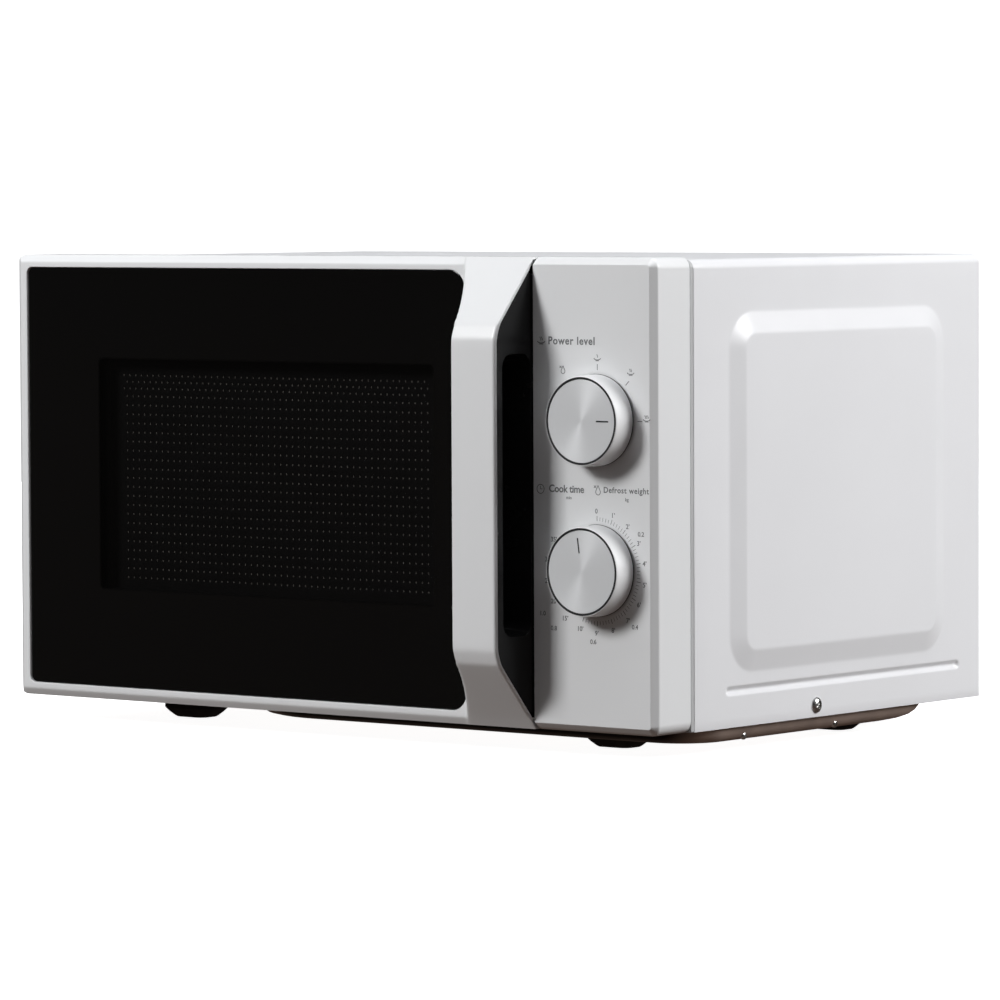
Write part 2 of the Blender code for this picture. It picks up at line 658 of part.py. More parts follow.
def make_turntable(frame, looks):
    centre = (CAVITY_X, TABLE_Y, 0)
    top = CAVITY_FLOOR - PLATE - GAP
    motor = cylinder((CAVITY_X, TABLE_Y, 0.0165), 0.025, top - 0.0165, "z")
    ears = box((CAVITY_X - 0.034, TABLE_Y - 0.006, top - 0.0015), (CAVITY_X + 0.034, TABLE_Y + 0.006, top))
    join(motor, [ears])
    cut(motor, [cylinder((CAVITY_X, TABLE_Y, 0.0235), 0.0040, 0.02, "z", 16)])
    place(motor, "turntable_motor", looks["steel"], frame)

    hub_low = CAVITY_FLOOR + 0.0012
    hub_high = TRAY_Z - GAP
    shaft = turned([(0, 0.0245), (0.0035, 0.0245), (0.0035, hub_low), (0.0080, hub_low), (0.0080, hub_high),
                    (0, hub_high)], (0, 0, 0), "z", 20)
    arms = []
    for k in range(3):
        arm = box((0.004, -0.0035, hub_low + 0.0010), (0.017, 0.0035, hub_high - 0.0010))
        arms.append(moved(arm, Matrix.Rotation(2 * pi * k / 3 + 0.1, 4, "Z")))
    coupler = moved(join(shaft, arms), Matrix.Translation(centre))
    place(coupler, "turntable_coupler", looks["nylon"], frame, centre)

    profile = [(RING_INNER, ROLLER_Z - 0.0025), (RING_OUTER, ROLLER_Z - 0.0025),
               (RING_OUTER, ROLLER_Z + 0.0025), (RING_INNER, ROLLER_Z + 0.0025)]
    ring = turned(profile, (0, 0, 0), "z", 48)
    spokes = []
    for k in range(3):
        turn = Matrix.Rotation(2 * pi * k / 3 + pi / 2, 4, "Z")
        stop = ROLLER_TRACK + ROLLER_WIDTH / 2 + 0.0004
        root = RING_OUTER - 0.002
        outline = [(0, root), (0.0018, root), (0.0018, stop), (0.0030, stop), (0.0030, stop + 0.0018),
                   (0, stop + 0.0018)]
        axle = turned(outline, (0, 0, ROLLER_Z), "x", 12)
        spokes.append(moved(axle, turn))
    ring = moved(join(ring, spokes), Matrix.Translation(centre))
    place(ring, "roller_ring", looks["nylon"], frame, centre)

    for k in range(3):
        angle = 2 * pi * k / 3 + pi / 2
        half = ROLLER_WIDTH / 2
        wheel = turned([(0.0022, -half), (ROLLER_RADIUS - 0.0006, -half), (ROLLER_RADIUS, -half + 0.0006),
                        (ROLLER_RADIUS, half - 0.0006), (ROLLER_RADIUS - 0.0006, half), (0.0022, half)],
                       (ROLLER_TRACK, 0, ROLLER_Z), "x", 20)
        pivot = (CAVITY_X + ROLLER_TRACK * cos(angle), TABLE_Y + ROLLER_TRACK * sin(angle), ROLLER_Z)
        moved(wheel, Matrix.Translation(centre) @ Matrix.Rotation(angle, 4, "Z"))
        place(wheel, f"roller_{k + 1}", looks["nylon"], frame, pivot)

    rim = TRAY_RADIUS
    z = TRAY_Z
    dish = [(0, z), (0.101, z), (0.112, z + 0.004), (rim - 0.002, z + 0.0105), (rim, z + 0.0108),
            (rim, z + 0.0125), (rim - 0.0025, z + 0.0132), (0.1095, z + 0.0078), (0.0985, z + TRAY_THICK),
            (0, z + TRAY_THICK)]
    tray = turned(dish, centre, "z", 48)
    place(tray, "glass_tray", looks["clear"], frame, centre)


# Controls --------------------------------------------------------------------------------------------


def front_loop(left, right, inset, side_inset, corners, y):
    low = (left, FRONT_BOTTOM + inset)
    high = (right - side_inset, FRONT_TOP - inset)
    return in_plane_y(rounded(low, high, corners, 4), y)


def make_control_panel(frame, looks):
    square = 0.0004
    full = (square, FRONT_CORNER, FRONT_CORNER, square)
    face = (square, 0.003, 0.003, square)
    loops = [front_loop(PANEL_LEFT, HALF, FRONT_CHAMFER, 0.0014, face, 0.0),
             front_loop(PANEL_LEFT, HALF, 0.0, 0.0, full, CHAMFER_DEPTH + 0.001),
             front_loop(PANEL_LEFT, HALF, 0.0, 0.0, full, FRONT_DEPTH)]
    panel = loft(loops)
    hollow = [front_loop(PANEL_LEFT + WALL, HALF - WALL, FRONT_CHAMFER + 0.001, 0.001, 0.002, WALL),
              front_loop(PANEL_LEFT + WALL, HALF - WALL, WALL, 0.0, 0.003, CHAMFER_DEPTH + 0.002),
              front_loop(PANEL_LEFT + WALL, HALF - WALL, WALL, 0.0, 0.003, FRONT_DEPTH + 0.01)]
    cutters = [loft(hollow)]
    for z in (POWER_Z, TIMER_Z):
        cutters.append(cylinder((KNOB_X, -0.01, z), 0.0045, 0.02, "y", 24))
    cut(panel, cutters)
    place(panel, "control_panel", looks["white"], frame)


def knob_profile():
    base = -KNOB_CLEARANCE
    top = -KNOB_HEIGHT
    recess = top + 0.0012
    ceiling = top + 0.003
    boss = 0.0065
    return [(0, recess), (KNOB_FACE_RADIUS - 0.0008, recess), (KNOB_FACE_RADIUS - 0.0008, top),
            (KNOB_FACE_RADIUS - 0.0002, top), (KNOB_FACE_RADIUS + 0.0003, top + 0.0008),
            (KNOB_BASE_RADIUS, base), (KNOB_BASE_RADIUS - 0.0016, base),
            (KNOB_FACE_RADIUS - 0.0014, ceiling), (boss, ceiling), (boss, base - 0.0006),
            (SHAFT_RADIUS + GAP, base - 0.0006), (SHAFT_RADIUS + GAP, ceiling + 0.0002),
            (0, ceiling + 0.0002)]


def make_knob(word, z, frame, looks):
    pivot = (KNOB_X, 0, z)
    knob = turned(knob_profile(), pivot, "y", ROUND)
    place(knob, f"{word}_knob", looks["silver"], frame, pivot)
    top = -KNOB_HEIGHT
    edge = KNOB_FACE_RADIUS - 0.0011
    face = [(0, top + 0.0009), (edge, top + 0.0009), (edge, top + 0.0003), (0, top + 0.0001)]
    place(turned(face, pivot, "y", ROUND), f"{word}_knob_face", looks["spun"], frame, pivot)
    shaft = cylinder((KNOB_X, top + 0.0036, z), SHAFT_RADIUS, 0.0284, "y", 20)
    place(shaft, f"{word}_shaft", looks["spun"], frame, pivot)


def make_switch_bodies(frame, looks):
    """The power selector and the timer: a case each, with the bushing that its shaft turns in."""
    for word, z, half_x, half_z, back in (("power_selector", POWER_Z, 0.022, 0.021, 0.038),
                                          ("timer_case", TIMER_Z, 0.026, 0.027, 0.050)):
        case = box((KNOB_X - half_x, 0.0085, z - half_z), (KNOB_X + half_x, back, z + half_z))
        step = cylinder((KNOB_X, 0.0030, z), 0.0062, 0.0065, "y", 24)
        join(case, [step])
        cut(case, [cylinder((KNOB_X, -0.002, z), SHAFT_RADIUS + GAP, 0.0205, "y", 20)])
        place(case, word, looks["nylon"], frame)


# Door ------------------------------------------------------------------------------------------------


def bar_depth(z):
    """How far the handle bar stands forward of the door at a height, with its shoulders rounded."""
    reach = min(BAR_SLOPE * (BAR_TOP - z), BAR_SLOPE * (z - BAR_BOTTOM))
    soft = BAR_ROUND * 0.35
    over = reach - HANDLE_REACH
    if over > BAR_ROUND:
        return HANDLE_REACH
    return HANDLE_REACH + (over - hypot(over, soft)) / 2 + soft * 0.03


def bar_left(depth):
    """The bar's left edge at a depth: its left wall leans in and is hollowed towards the door."""
    share = min(1.0, depth / HANDLE_REACH)
    return BAR_LEFT_FRONT - (BAR_LEFT_FRONT - GLASS_RIGHT) * (1 - share) ** 1.6


def bar_section(z, skin, right, back):
    depth = min(bar_depth(z), HANDLE_REACH) - skin
    points = [(right, back), (right, -depth)]
    for share in (1.0, 0.75, 0.5, 0.25, 0.0):
        points.append((bar_left(max(depth, 0) * share + skin) + skin, -depth * share))
    points.append((points[-1][0], back))
    return [(x, y, z) for x, y in points]


def bar_solid(skin, right, back):
    top = BAR_TOP - (skin + 0.0020) / BAR_SLOPE - skin
    bottom = BAR_BOTTOM + (skin + 0.0020) / BAR_SLOPE + skin
    shoulder = HANDLE_REACH / BAR_SLOPE
    heights = [bottom, bottom + 0.012]
    heights += [BAR_BOTTOM + shoulder + step for step in (-0.010, -0.005, -0.002, 0.001, 0.005, 0.012)]
    heights += [BAR_TOP - shoulder - step for step in (0.012, 0.005, 0.001, -0.002, -0.005, -0.010)]
    heights += [top - 0.012, top]
    return loft([bar_section(z, skin, right, back) for z in heights])


def hook_slot(z, y):
    """A slot in the door's back that a latch hook slides up and down in."""
    return box((LATCH_X - 0.0045, y - 0.01, z - 0.008), (LATCH_X + 0.0045, y + 0.01, z + 0.012))


def hinge_notch(z, below, above):
    """Room for a fixed hinge arm to swing out through the door's rear left corner."""
    low = (-HALF - 0.005, HINGE_Y - 0.0078, z - below)
    high = (HINGE_X + ARM_HALF + 0.0016, FRONT_DEPTH + 0.005, z + above)
    return box(low, high)


def make_door_frame(frame, looks):
    square = 0.0004
    left = -HALF
    corners = (FRONT_CORNER, square, square, FRONT_CORNER)
    face = (0.004, square, square, 0.004)
    loops = [front_loop(left + 0.0020, DOOR_RIGHT, FRONT_CHAMFER, 0.0, face, 0.0),
             front_loop(left, DOOR_RIGHT, 0.0, 0.0, corners, CHAMFER_DEPTH),
             front_loop(left, DOOR_RIGHT, 0.0, 0.0, corners, FRONT_DEPTH - REAR_CHAMFER),
             front_loop(left + REAR_CHAMFER, DOOR_RIGHT, 0.0, 0.0, face, FRONT_DEPTH)]
    shell = loft(loops)
    join(shell, [bar_solid(0.0, DOOR_RIGHT, 0.002)])
    inner = (0.004, square, square, 0.004)
    hollow = [front_loop(left + WALL, DOOR_RIGHT - WALL, WALL, 0.0, inner, FACE_THICK),
              front_loop(left + WALL, DOOR_RIGHT - WALL, WALL, 0.0, inner, FRONT_DEPTH + 0.01)]
    cut(shell, [loft(hollow)])
    opening = rounded((GLASS_LEFT, GLASS_BOTTOM), (GLASS_RIGHT, GLASS_TOP), GLASS_CORNERS, 5)
    cut(shell, [prism(opening, "y", -0.01, FACE_THICK + 0.001)])
    cut(shell, [bar_solid(BAR_SKIN, DOOR_RIGHT + 0.005, 0.0030)])
    cut(shell, [hinge_notch(HINGE_UPPER_Z, 0.0005, HINGE_ARM + 0.0005),
                hinge_notch(HINGE_LOWER_Z, HINGE_ARM + 0.0005, 0.0005)])
    place(shell, "door_frame", looks["white"], frame, (HINGE_X, HINGE_Y, 0))


def make_door_glass(frame, looks):
    low = (GLASS_LEFT + GAP, GLASS_BOTTOM + GAP)
    high = (GLASS_RIGHT - GAP, GLASS_TOP - GAP)
    outline = rounded(low, high, GLASS_CORNERS, 5)
    glass = prism(outline, "y", GLASS_FRONT, GLASS_FRONT + GLASS_THICK)
    place(glass, "door_glass", looks["glass"], frame, (HINGE_X, HINGE_Y, 0))


def make_handle_liner(frame, looks):
    liner = bar_solid(BAR_SKIN + GAP, DOOR_RIGHT - 0.0003, 0.0027)
    pocket_front = 0.0045 + BAR_SKIN - HANDLE_REACH
    mouth = rounded((pocket_front, 0.062), (-0.0010, 0.2065), 0.006, 3)
    floor = rounded((pocket_front + 0.0025, 0.067), (-0.0035, 0.2015), 0.004, 3)
    pocket = loft([in_plane_x(floor, 0.1235), in_plane_x(mouth, DOOR_RIGHT + 0.001)])
    cut(liner, [pocket])
    place(liner, "handle_liner", looks["gloss"], frame, (HINGE_X, HINGE_Y, 0))


def window_outline(grow, corner):
    low = (WINDOW_LEFT - grow, WINDOW_BOTTOM - grow)
    high = (WINDOW_RIGHT + grow, WINDOW_TOP + grow)
    return rounded(low, high, corner, 3)


def make_door_inner_panel(frame, looks):
    corner = 0.004
    edge_low = (-HALF + REAR_CHAMFER + 0.0014, FRONT_BOTTOM + WALL + 0.0006)
    edge_high = (DOOR_RIGHT - WALL - 0.0006, FRONT_TOP - WALL - 0.0006)
    edge = rounded(edge_low, edge_high, corner, 3)
    rim = window_outline(0.006, 0.008)
    well = window_outline(0.0, 0.006)
    rim_in = window_outline(0.006 - PLATE, 0.007)
    well_in = window_outline(-PLATE, 0.005)
    loops = [in_plane_y(well, WINDOW_Y), in_plane_y(rim, FLANGE_Y), in_plane_y(edge, FLANGE_Y),
             in_plane_y(edge, FLANGE_Y + PLATE), in_plane_y(rim_in, FLANGE_Y + PLATE),
             in_plane_y(well_in, WINDOW_Y + PLATE)]
    panel = loft(loops)
    cutters = []
    for z in (HOOK_UPPER_Z, HOOK_LOWER_Z):
        cutters.append(hook_slot(z, FLANGE_Y))
    for z, up in ((HINGE_UPPER_Z, -1), (HINGE_LOWER_Z, 1)):
        start = z + up * 0.0004
        barrel = cylinder((HINGE_X, HINGE_Y, start), BARREL_RADIUS, up * 0.012, "z", 20)
        tab = sorted((start, start + up * 0.012))
        join(panel, [barrel, box((HINGE_X, HINGE_Y, tab[0]), (HINGE_X + 0.012, FLANGE_Y + 0.0005, tab[1]))])
    cutters.append(hinge_notch(HINGE_UPPER_Z, 0.0, HINGE_ARM + 0.0005))
    cutters.append(hinge_notch(HINGE_LOWER_Z, HINGE_ARM + 0.0005, 0.0))
    for z, up in ((HINGE_UPPER_Z, -1), (HINGE_LOWER_Z, 1)):
        cutters.append(cylinder((HINGE_X, HINGE_Y, z - up * 0.001), PIN_RADIUS + GAP, up * 0.012, "z", 16))
    cut(panel, cutters)
    place(panel, "door_inner_panel", looks["dark_steel"], frame, (HINGE_X, HINGE_Y, 0))


def make_choke_cover(frame, looks):
    front = FLANGE_Y + PLATE + GAP
    outline = rounded((-0.2060, 0.0185), (0.1375, 0.2505), 0.003, 3)
    opening = window_outline(0.010, 0.006)
    loops = [in_plane_y(outline, front), in_plane_y(outline, FRONT_DEPTH), in_plane_y(opening, FRONT_DEPTH),
             in_plane_y(opening, front)]
    cover = ring_loft(loops)
    cut(cover, [hook_slot(z, front) for z in (HOOK_UPPER_Z, HOOK_LOWER_Z)])
    place(cover, "choke_cover", looks["black"], frame, (HINGE_X, HINGE_Y, 0))
    film = prism(window_outline(0.010 - GAP, 0.0055), "y", front, front + 0.0006)
    place(film, "inner_window_film", looks["clear"], frame, (HINGE_X, HINGE_Y, 0))


def make_latch(frame, looks):
    left = LATCH_X - HOOK_WIDTH / 2
    right = LATCH_X + HOOK_WIDTH / 2
    bar = box((left - 0.0015, 0.0145, HOOK_LOWER_Z - 0.012),
              (right + 0.0015, LATCH_BAR_BACK, HOOK_UPPER_Z + 0.012))
    hooks = []
    for z in (HOOK_UPPER_Z, HOOK_LOWER_Z):
        top = z + HOOK_HEIGHT / 2
        bottom = z - HOOK_HEIGHT / 2
        root = LATCH_BAR_BACK - 0.002
        outline = [(root, top), (root, bottom + 0.004), (HOOK_TIP - 0.014, bottom + 0.004),
                   (HOOK_TIP - 0.011, bottom), (HOOK_TIP - 0.007, bottom), (HOOK_TIP, bottom + 0.006),
                   (HOOK_TIP, top - 0.002), (HOOK_TIP - 0.003, top)]
        hooks.append(prism(outline, "x", left, right))
    pivot = (LATCH_X, LATCH_BAR_BACK, HOOK_UPPER_Z)
    place(join(bar, hooks), "door_latch", looks["nylon"], frame, pivot)
    low = HOOK_UPPER_Z + 0.012 + GAP
    coil = [(0.0018, 0), (0.0030, 0), (0.0030, 0.020), (0.0018, 0.020)]
    place(turned(coil, (LATCH_X, 0.0182, low), "z", 16), "latch_spring", looks["steel"], frame)


def make_hinges(frame, looks):
    for word, z, up in (("upper", HINGE_UPPER_Z, 1), ("lower", HINGE_LOWER_Z, -1)):
        levels = sorted((z, z + up * HINGE_ARM))
        turns = [pi * k / 10 for k in range(11)]
        outline = [(HINGE_X - ARM_HALF * cos(a), HINGE_Y - ARM_HALF * sin(a)) for a in turns]
        outline += [(HINGE_X + ARM_HALF, PLATE_Y - 0.0007), (HINGE_X - ARM_HALF, PLATE_Y - 0.0007)]
        arm = prism(outline, "z", *levels)
        leaf = box((HINGE_X + 0.0036, PLATE_Y - GAP - SHEET, z - 0.010),
                   (HINGE_X + 0.016, PLATE_Y - GAP, z + 0.010))
        pin = cylinder((HINGE_X, HINGE_Y, z + up * HINGE_ARM / 2), PIN_RADIUS, -up * PIN_LENGTH, "z", 16)
        place(join(arm, [leaf, pin]), f"hinge_bracket_{word}", looks["steel"], frame)


def make_interlock(frame, looks):
    front = PLATE_Y + PLATE + GAP
    bracket = box((0.1160, front, 0.046), (0.1380, front + 0.002, 0.206))
    side = box((0.1360, front, 0.046), (0.1380, 0.082, 0.206))
    shelf_upper = box((0.1180, front + 0.001, 0.204), (0.1370, 0.080, 0.206))
    shelf_lower = box((0.1180, front + 0.001, 0.046), (0.1370, 0.080, 0.048))
    join(bracket, [side, shelf_upper, shelf_lower])
    cut(bracket, [hook_passage(z, front) for z in (HOOK_UPPER_Z, HOOK_LOWER_Z)])
    place(bracket, "interlock_bracket", looks["nylon"], frame)

    tip = HOOK_TIP + 0.0006
    for word, z in (("upper", HOOK_UPPER_Z), ("lower", HOOK_LOWER_Z)):
        body = box((0.1232, tip + 0.0035, z - 0.014), (0.1357, tip + 0.0195, z + 0.014))
        cut(body, [cylinder((LATCH_X, tip, z), 0.0019, 0.010, "y", 12)])
        place(body, f"interlock_switch_{word}", looks["black"], frame)
        plunger = cylinder((LATCH_X, tip, z), 0.0015, 0.0085, "y", 12)
        place(plunger, f"switch_plunger_{word}", looks["white"], frame, (LATCH_X, tip, z))
    top = HOOK_LOWER_Z - HOOK_HEIGHT / 2 - 0.0006
    body = box((0.1232, 0.036, top - 0.0175), (0.1357, 0.0575, top - 0.0035))
    cut(body, [cylinder((LATCH_X, 0.049, top - 0.010), 0.0019, 0.010, "z", 12)])
    place(body, "interlock_switch_monitor", looks["black"], frame)
    plunger = cylinder((LATCH_X, 0.049, top - 0.0085), 0.0015, 0.0085, "z", 12)
    place(plunger, "switch_plunger_monitor", looks["white"], frame, (LATCH_X, 0.049, top))


def main():
    clear_scene()
    frame = make_frame()
    looks = make_materials()
    make_cabinet(frame, looks)
    make_side_screws(frame, looks)
    make_base_pan(frame, looks)
    make_feet(frame, looks)
    make_rear_panel(frame, looks)
    make_cord_gland(frame, looks)
    make_front_plate(frame, looks)
    make_cavity(frame, looks)
    make_waveguide(frame, looks)
    make_magnetron(frame, looks)
    make_transformer(frame, looks)
    make_capacitor(frame, looks)
    make_filter_board(frame, looks)
    make_fan(frame, looks)
    make_lamp(frame, looks)
    make_turntable(frame, looks)
    make_control_panel(frame, looks)
    make_knob("power", POWER_Z, frame, looks)
    make_knob("timer", TIMER_Z, frame, looks)
    make_switch_bodies(frame, looks)
    make_door_frame(frame, looks)
    make_door_glass(frame, looks)
    make_handle_liner(frame, looks)
    make_door_inner_panel(frame, looks)
    make_choke_cover(frame, looks)
    make_latch(frame, looks)
    make_hinges(frame, looks)
    make_interlock(frame, looks)


main()
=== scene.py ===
"""Looks for the microwave oven: detailed shells, printed dials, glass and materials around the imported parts.

Metres, +Z up. Front y is measured back from the control panel's face, as in the part's own source, so a
point at front y lies at FACE + y in the frame. Every piece rides on the body of the part it stands for.
"""

from math import cos, hypot, pi, radians, sin, sqrt

import bmesh
import bpy
from mathutils import Matrix, Vector


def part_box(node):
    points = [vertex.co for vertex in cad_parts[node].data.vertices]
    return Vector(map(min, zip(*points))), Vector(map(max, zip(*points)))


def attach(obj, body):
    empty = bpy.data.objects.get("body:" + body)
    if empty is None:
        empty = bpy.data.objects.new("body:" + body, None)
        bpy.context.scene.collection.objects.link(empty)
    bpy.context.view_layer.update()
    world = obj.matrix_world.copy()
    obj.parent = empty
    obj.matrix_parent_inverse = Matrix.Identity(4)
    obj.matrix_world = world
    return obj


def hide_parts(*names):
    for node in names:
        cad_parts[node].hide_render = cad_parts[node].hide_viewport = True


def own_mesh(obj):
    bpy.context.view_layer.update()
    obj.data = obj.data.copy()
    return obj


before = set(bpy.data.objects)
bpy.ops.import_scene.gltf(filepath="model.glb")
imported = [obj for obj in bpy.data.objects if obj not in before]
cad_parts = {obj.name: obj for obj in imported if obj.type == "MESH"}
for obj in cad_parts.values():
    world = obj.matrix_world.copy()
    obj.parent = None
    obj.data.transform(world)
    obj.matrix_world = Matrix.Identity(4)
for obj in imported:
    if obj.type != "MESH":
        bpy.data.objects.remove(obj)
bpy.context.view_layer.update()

MM = 0.001


def mm(*values):
    """Millimetres as metres."""
    return tuple(value * MM for value in values)


# Places read from the frame
PANEL_LOW, PANEL_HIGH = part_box("control_panel")
DOOR_LOW, DOOR_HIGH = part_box("door_frame")
GLASS_LOW, GLASS_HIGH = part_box("door_glass")
COVER_LOW, COVER_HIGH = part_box("cabinet_cover")
PAN_LOW, PAN_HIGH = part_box("base_pan")
INNER_LOW, INNER_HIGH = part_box("door_inner_panel")
POWER_LOW, POWER_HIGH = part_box("power_knob")
TIMER_LOW, TIMER_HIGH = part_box("timer_knob")
FACE = PANEL_LOW.y
HALF = PANEL_HIGH.x
TOP = PANEL_HIGH.z
BOTTOM = PANEL_LOW.z
FRONT_DEPTH = PANEL_HIGH.y - FACE
REACH = FACE - DOOR_LOW.y
DOOR_RIGHT = DOOR_HIGH.x
PANEL_LEFT = PANEL_LOW.x
KNOB_X = (POWER_LOW.x + POWER_HIGH.x) / 2
POWER_Z = (POWER_LOW.z + POWER_HIGH.z) / 2
TIMER_Z = (TIMER_LOW.z + TIMER_HIGH.z) / 2

# Front moulding
CHAMFER = 3.7 * MM
CHAMFER_DEPTH = 4.5 * MM
LOWER_SLOPE = 0.72
SIDE_CHAMFER = 5.0 * MM
CORNER = 6.0 * MM
SQUARE_CORNER = 0.3 * MM
REAR_CHAMFER = 4.0 * MM

# Door glass and its clear window
GLASS_RADII = mm(3.5, 10.0, 10.0, 3.5)
OPENING_GAP = 0.3 * MM
WINDOW_LOW = mm(-158.4, 74.0)
WINDOW_HIGH = mm(76.0, 199.5)
WINDOW_RADIUS = 3.0 * MM
WINDOW_SOFT = 0.8 * MM

# Handle bar
BAR_TOP = TOP - 2.1 * MM
BAR_BOTTOM = BOTTOM + 2.7 * MM
BAR_SLOPE = 0.887
BAR_LEFT_FRONT = 113.6 * MM
BAR_SKIN = 2.2 * MM
SHOULDER_IN = 3.1 * MM
SHOULDER_HEIGHT = 7.0 * MM
SHOULDER_SLOPE = 0.39

# Window screen: rows of round holes in the floor of a pressed well
MESH_PITCH = 4.22 * MM
MESH_ROW = 4.93 * MM
MESH_TOP_ROW = 3.55 * MM
MESH_ROWS = 21
MESH_TOP_ROWS = 3
MESH_HOLE = 0.62 * MM
MESH_LEFT = -150.0 * MM
MESH_RIGHT = 66.0 * MM
MESH_BOTTOM = 77.6 * MM
WELL_LOW = mm(-159.5, 69.0)
WELL_HIGH = mm(78.0, 201.0)
WELL_FLOOR = 12.0 * MM

# Cabinet cover
EMBOSS_LOW = mm(63.0, 41.3)
EMBOSS_HIGH = mm(258.0, 227.3)
EMBOSS_CORNER = 20.0 * MM
EMBOSS_SLOPE = 12.0 * MM
EMBOSS_TOP_CORNER = 8.0 * MM
EMBOSS_RISE = 3.0 * MM
RIB_LOW = mm(60.1, 30.2)
RIB_HIGH = mm(272.4, 35.2)
RIB_CORNER = 2.4 * MM
RIB_SLOPE = 2.2 * MM
RIB_DEPTH = 1.5 * MM
SHEET = 0.8 * MM
COVER_CORNER = 5.0 * MM

# Ink stands a little proud of the panel's face and reaches a little into it
INK_FRONT = -0.05 * MM
INK_BACK = 0.05 * MM


# Small tools -------------------


def clamp(value, low=0.0, high=1.0):
    return max(low, min(high, value))


def smooth_max(a, b, soft):
    return (a + b + sqrt((a - b) ** 2 + soft ** 2)) / 2


def smooth_min(a, b, soft):
    return (a + b - sqrt((a - b) ** 2 + soft ** 2)) / 2


def rounded(low, high, radii, steps=8):
    """A rectangle's outline with a radius at each corner, counter-clockwise from the low corner."""
    if not isinstance(radii, tuple):
        radii = (radii,) * 4
    corners = ((low[0], low[1], 1, 1, pi), (high[0], low[1], -1, 1, 1.5 * pi),
               (high[0], high[1], -1, -1, 0.0), (low[0], high[1], 1, -1, 0.5 * pi))
    points = []
    for (u, v, du, dv, start), radius in zip(corners, radii):
        for k in range(steps + 1):
            angle = start + k / steps * pi / 2
            points.append((u + du * radius + radius * cos(angle), v + dv * radius + radius * sin(angle)))
    return points


def shrunk(low, high, by):
    """A rectangle's two corners, drawn in by a distance on every side."""
    return tuple(c + by for c in low), tuple(c - by for c in high)


def circle(centre, radius, steps):
    turns = [2 * pi * k / steps for k in range(steps)]
    return [(centre[0] + radius * cos(a), centre[1] + radius * sin(a)) for a in turns]


def turned(outline, angle):
    """An outline turned about its origin."""
    return [(u * cos(angle) - v * sin(angle), u * sin(angle) + v * cos(angle)) for u, v in outline]


def stations(spans):
    """Values from a list of (start, end, step), without repeats."""
    values = []
    for start, end, step in spans:
        count = max(1, round((end - start) / step))
        values += [start + (end - start) * k / count for k in range(count)]
    values.append(spans[-1][1])
    return values


def in_front_plane(outline, y):
    return [(u, FACE + y, v) for u, v in outline]


def in_side_plane(outline, x):
    return [(x, FACE + u, v) for u, v in outline]


def in_floor_plane(outline, z):
    return [(u, FACE + v, z) for u, v in outline]


def add_object(name, data):
    made = bpy.data.objects.new(name, data)
    bpy.context.scene.collection.objects.link(made)
    return made


MADE = []
LOOKS = {}


class Builder:
    """Collects shells into one mesh."""

    def __init__(self):
        self.mesh = bmesh.new()

    def loop(self, points):
        return [self.mesh.verts.new(point) for point in points]

    def bridge(self, first, second, skip=()):
        count = len(first)
        for i in range(count):
            if i not in skip:
                j = (i + 1) % count
                self.mesh.faces.new((first[i], first[j], second[j], second[i]))

    def chain(self, rows, skip=()):
        """Bridges each row of vertices to the next."""
        for first, second in zip(rows, rows[1:]):
            self.bridge(first, second, skip)
        return rows

    def stack(self, place, pairs):
        """Bridges outlines in turn, each put into a plane at its own level."""
        return self.chain([self.loop(place(outline, level)) for outline, level in pairs])

    def loft(self, loops, ring=False):
        """Skins loops in turn. The two ends are capped, or bridged to each other where ring is set."""
        rows = self.chain([self.loop(points) for points in loops])
        if ring:
            self.bridge(rows[-1], rows[0])
        else:
            self.mesh.faces.new(rows[0])
            self.mesh.faces.new(rows[-1])

    def fill(self, *loops):
        """Flat faces between loops that are already in the mesh: the first is the rim, the rest are holes."""
        edges = []
        for loop in loops:
            for i, vert in enumerate(loop):
                other = loop[(i + 1) % len(loop)]
                edges.append(self.mesh.edges.get((vert, other)) or self.mesh.edges.new((vert, other)))
        bmesh.ops.triangle_fill(self.mesh, use_beauty=True, use_dissolve=False, edges=edges)

    def turn(self, profile, centre, axis, steps):
        """A closed profile of (radius, height) in millimetres, turned about an axis through centre."""
        rows = []
        for radius, height in profile:
            points = []
            for u, v in circle((0, 0), radius * MM, steps if radius else 1):
                h = height * MM
                offset = (h, u, v) if axis == "x" else (u, h, v)
                points.append(tuple(c + o for c, o in zip(centre, offset)))
            rows.append(self.loop(points))
        for first, second in zip(rows, rows[1:] + rows[:1]):
            ring, tip = (first, second) if len(first) > 1 else (second, first)
            if len(tip) > 1:
                self.bridge(first, second)
            elif len(ring) > 1:
                for k in range(steps):
                    self.mesh.faces.new((ring[k], ring[(k + 1) % steps], tip[0]))

    def to_object(self, name):
        """Ends the builder: its mesh becomes an object."""
        bmesh.ops.recalc_face_normals(self.mesh, faces=self.mesh.faces)
        data = bpy.data.meshes.new(name)
        self.mesh.to_mesh(data)
        self.mesh.free()
        return add_object(name, data)

    def piece(self, name, body, look, slot, stands_for=(), angle=32, origin=None):
        """Ends the builder with a finished piece that rides on a body; angle is where edges turn sharp."""
        made = self.to_object(name)
        data = made.data
        if origin is not None:
            data.transform(Matrix.Translation(-Vector(origin)))
            made.location = origin
        data.materials.append(LOOKS[look])
        data.shade_smooth()
        data.set_sharp_from_angle(angle=radians(angle))
        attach(made, body)
        if stands_for:
            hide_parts(*stands_for)
        MADE.append(made)
        return made


def thicken(piece, thickness):
    """Gives a sheet its thickness, inwards from the modelled face."""
    step = piece.modifiers.new("sheet", "SOLIDIFY")
    step.thickness = thickness
    step.offset = -1.0


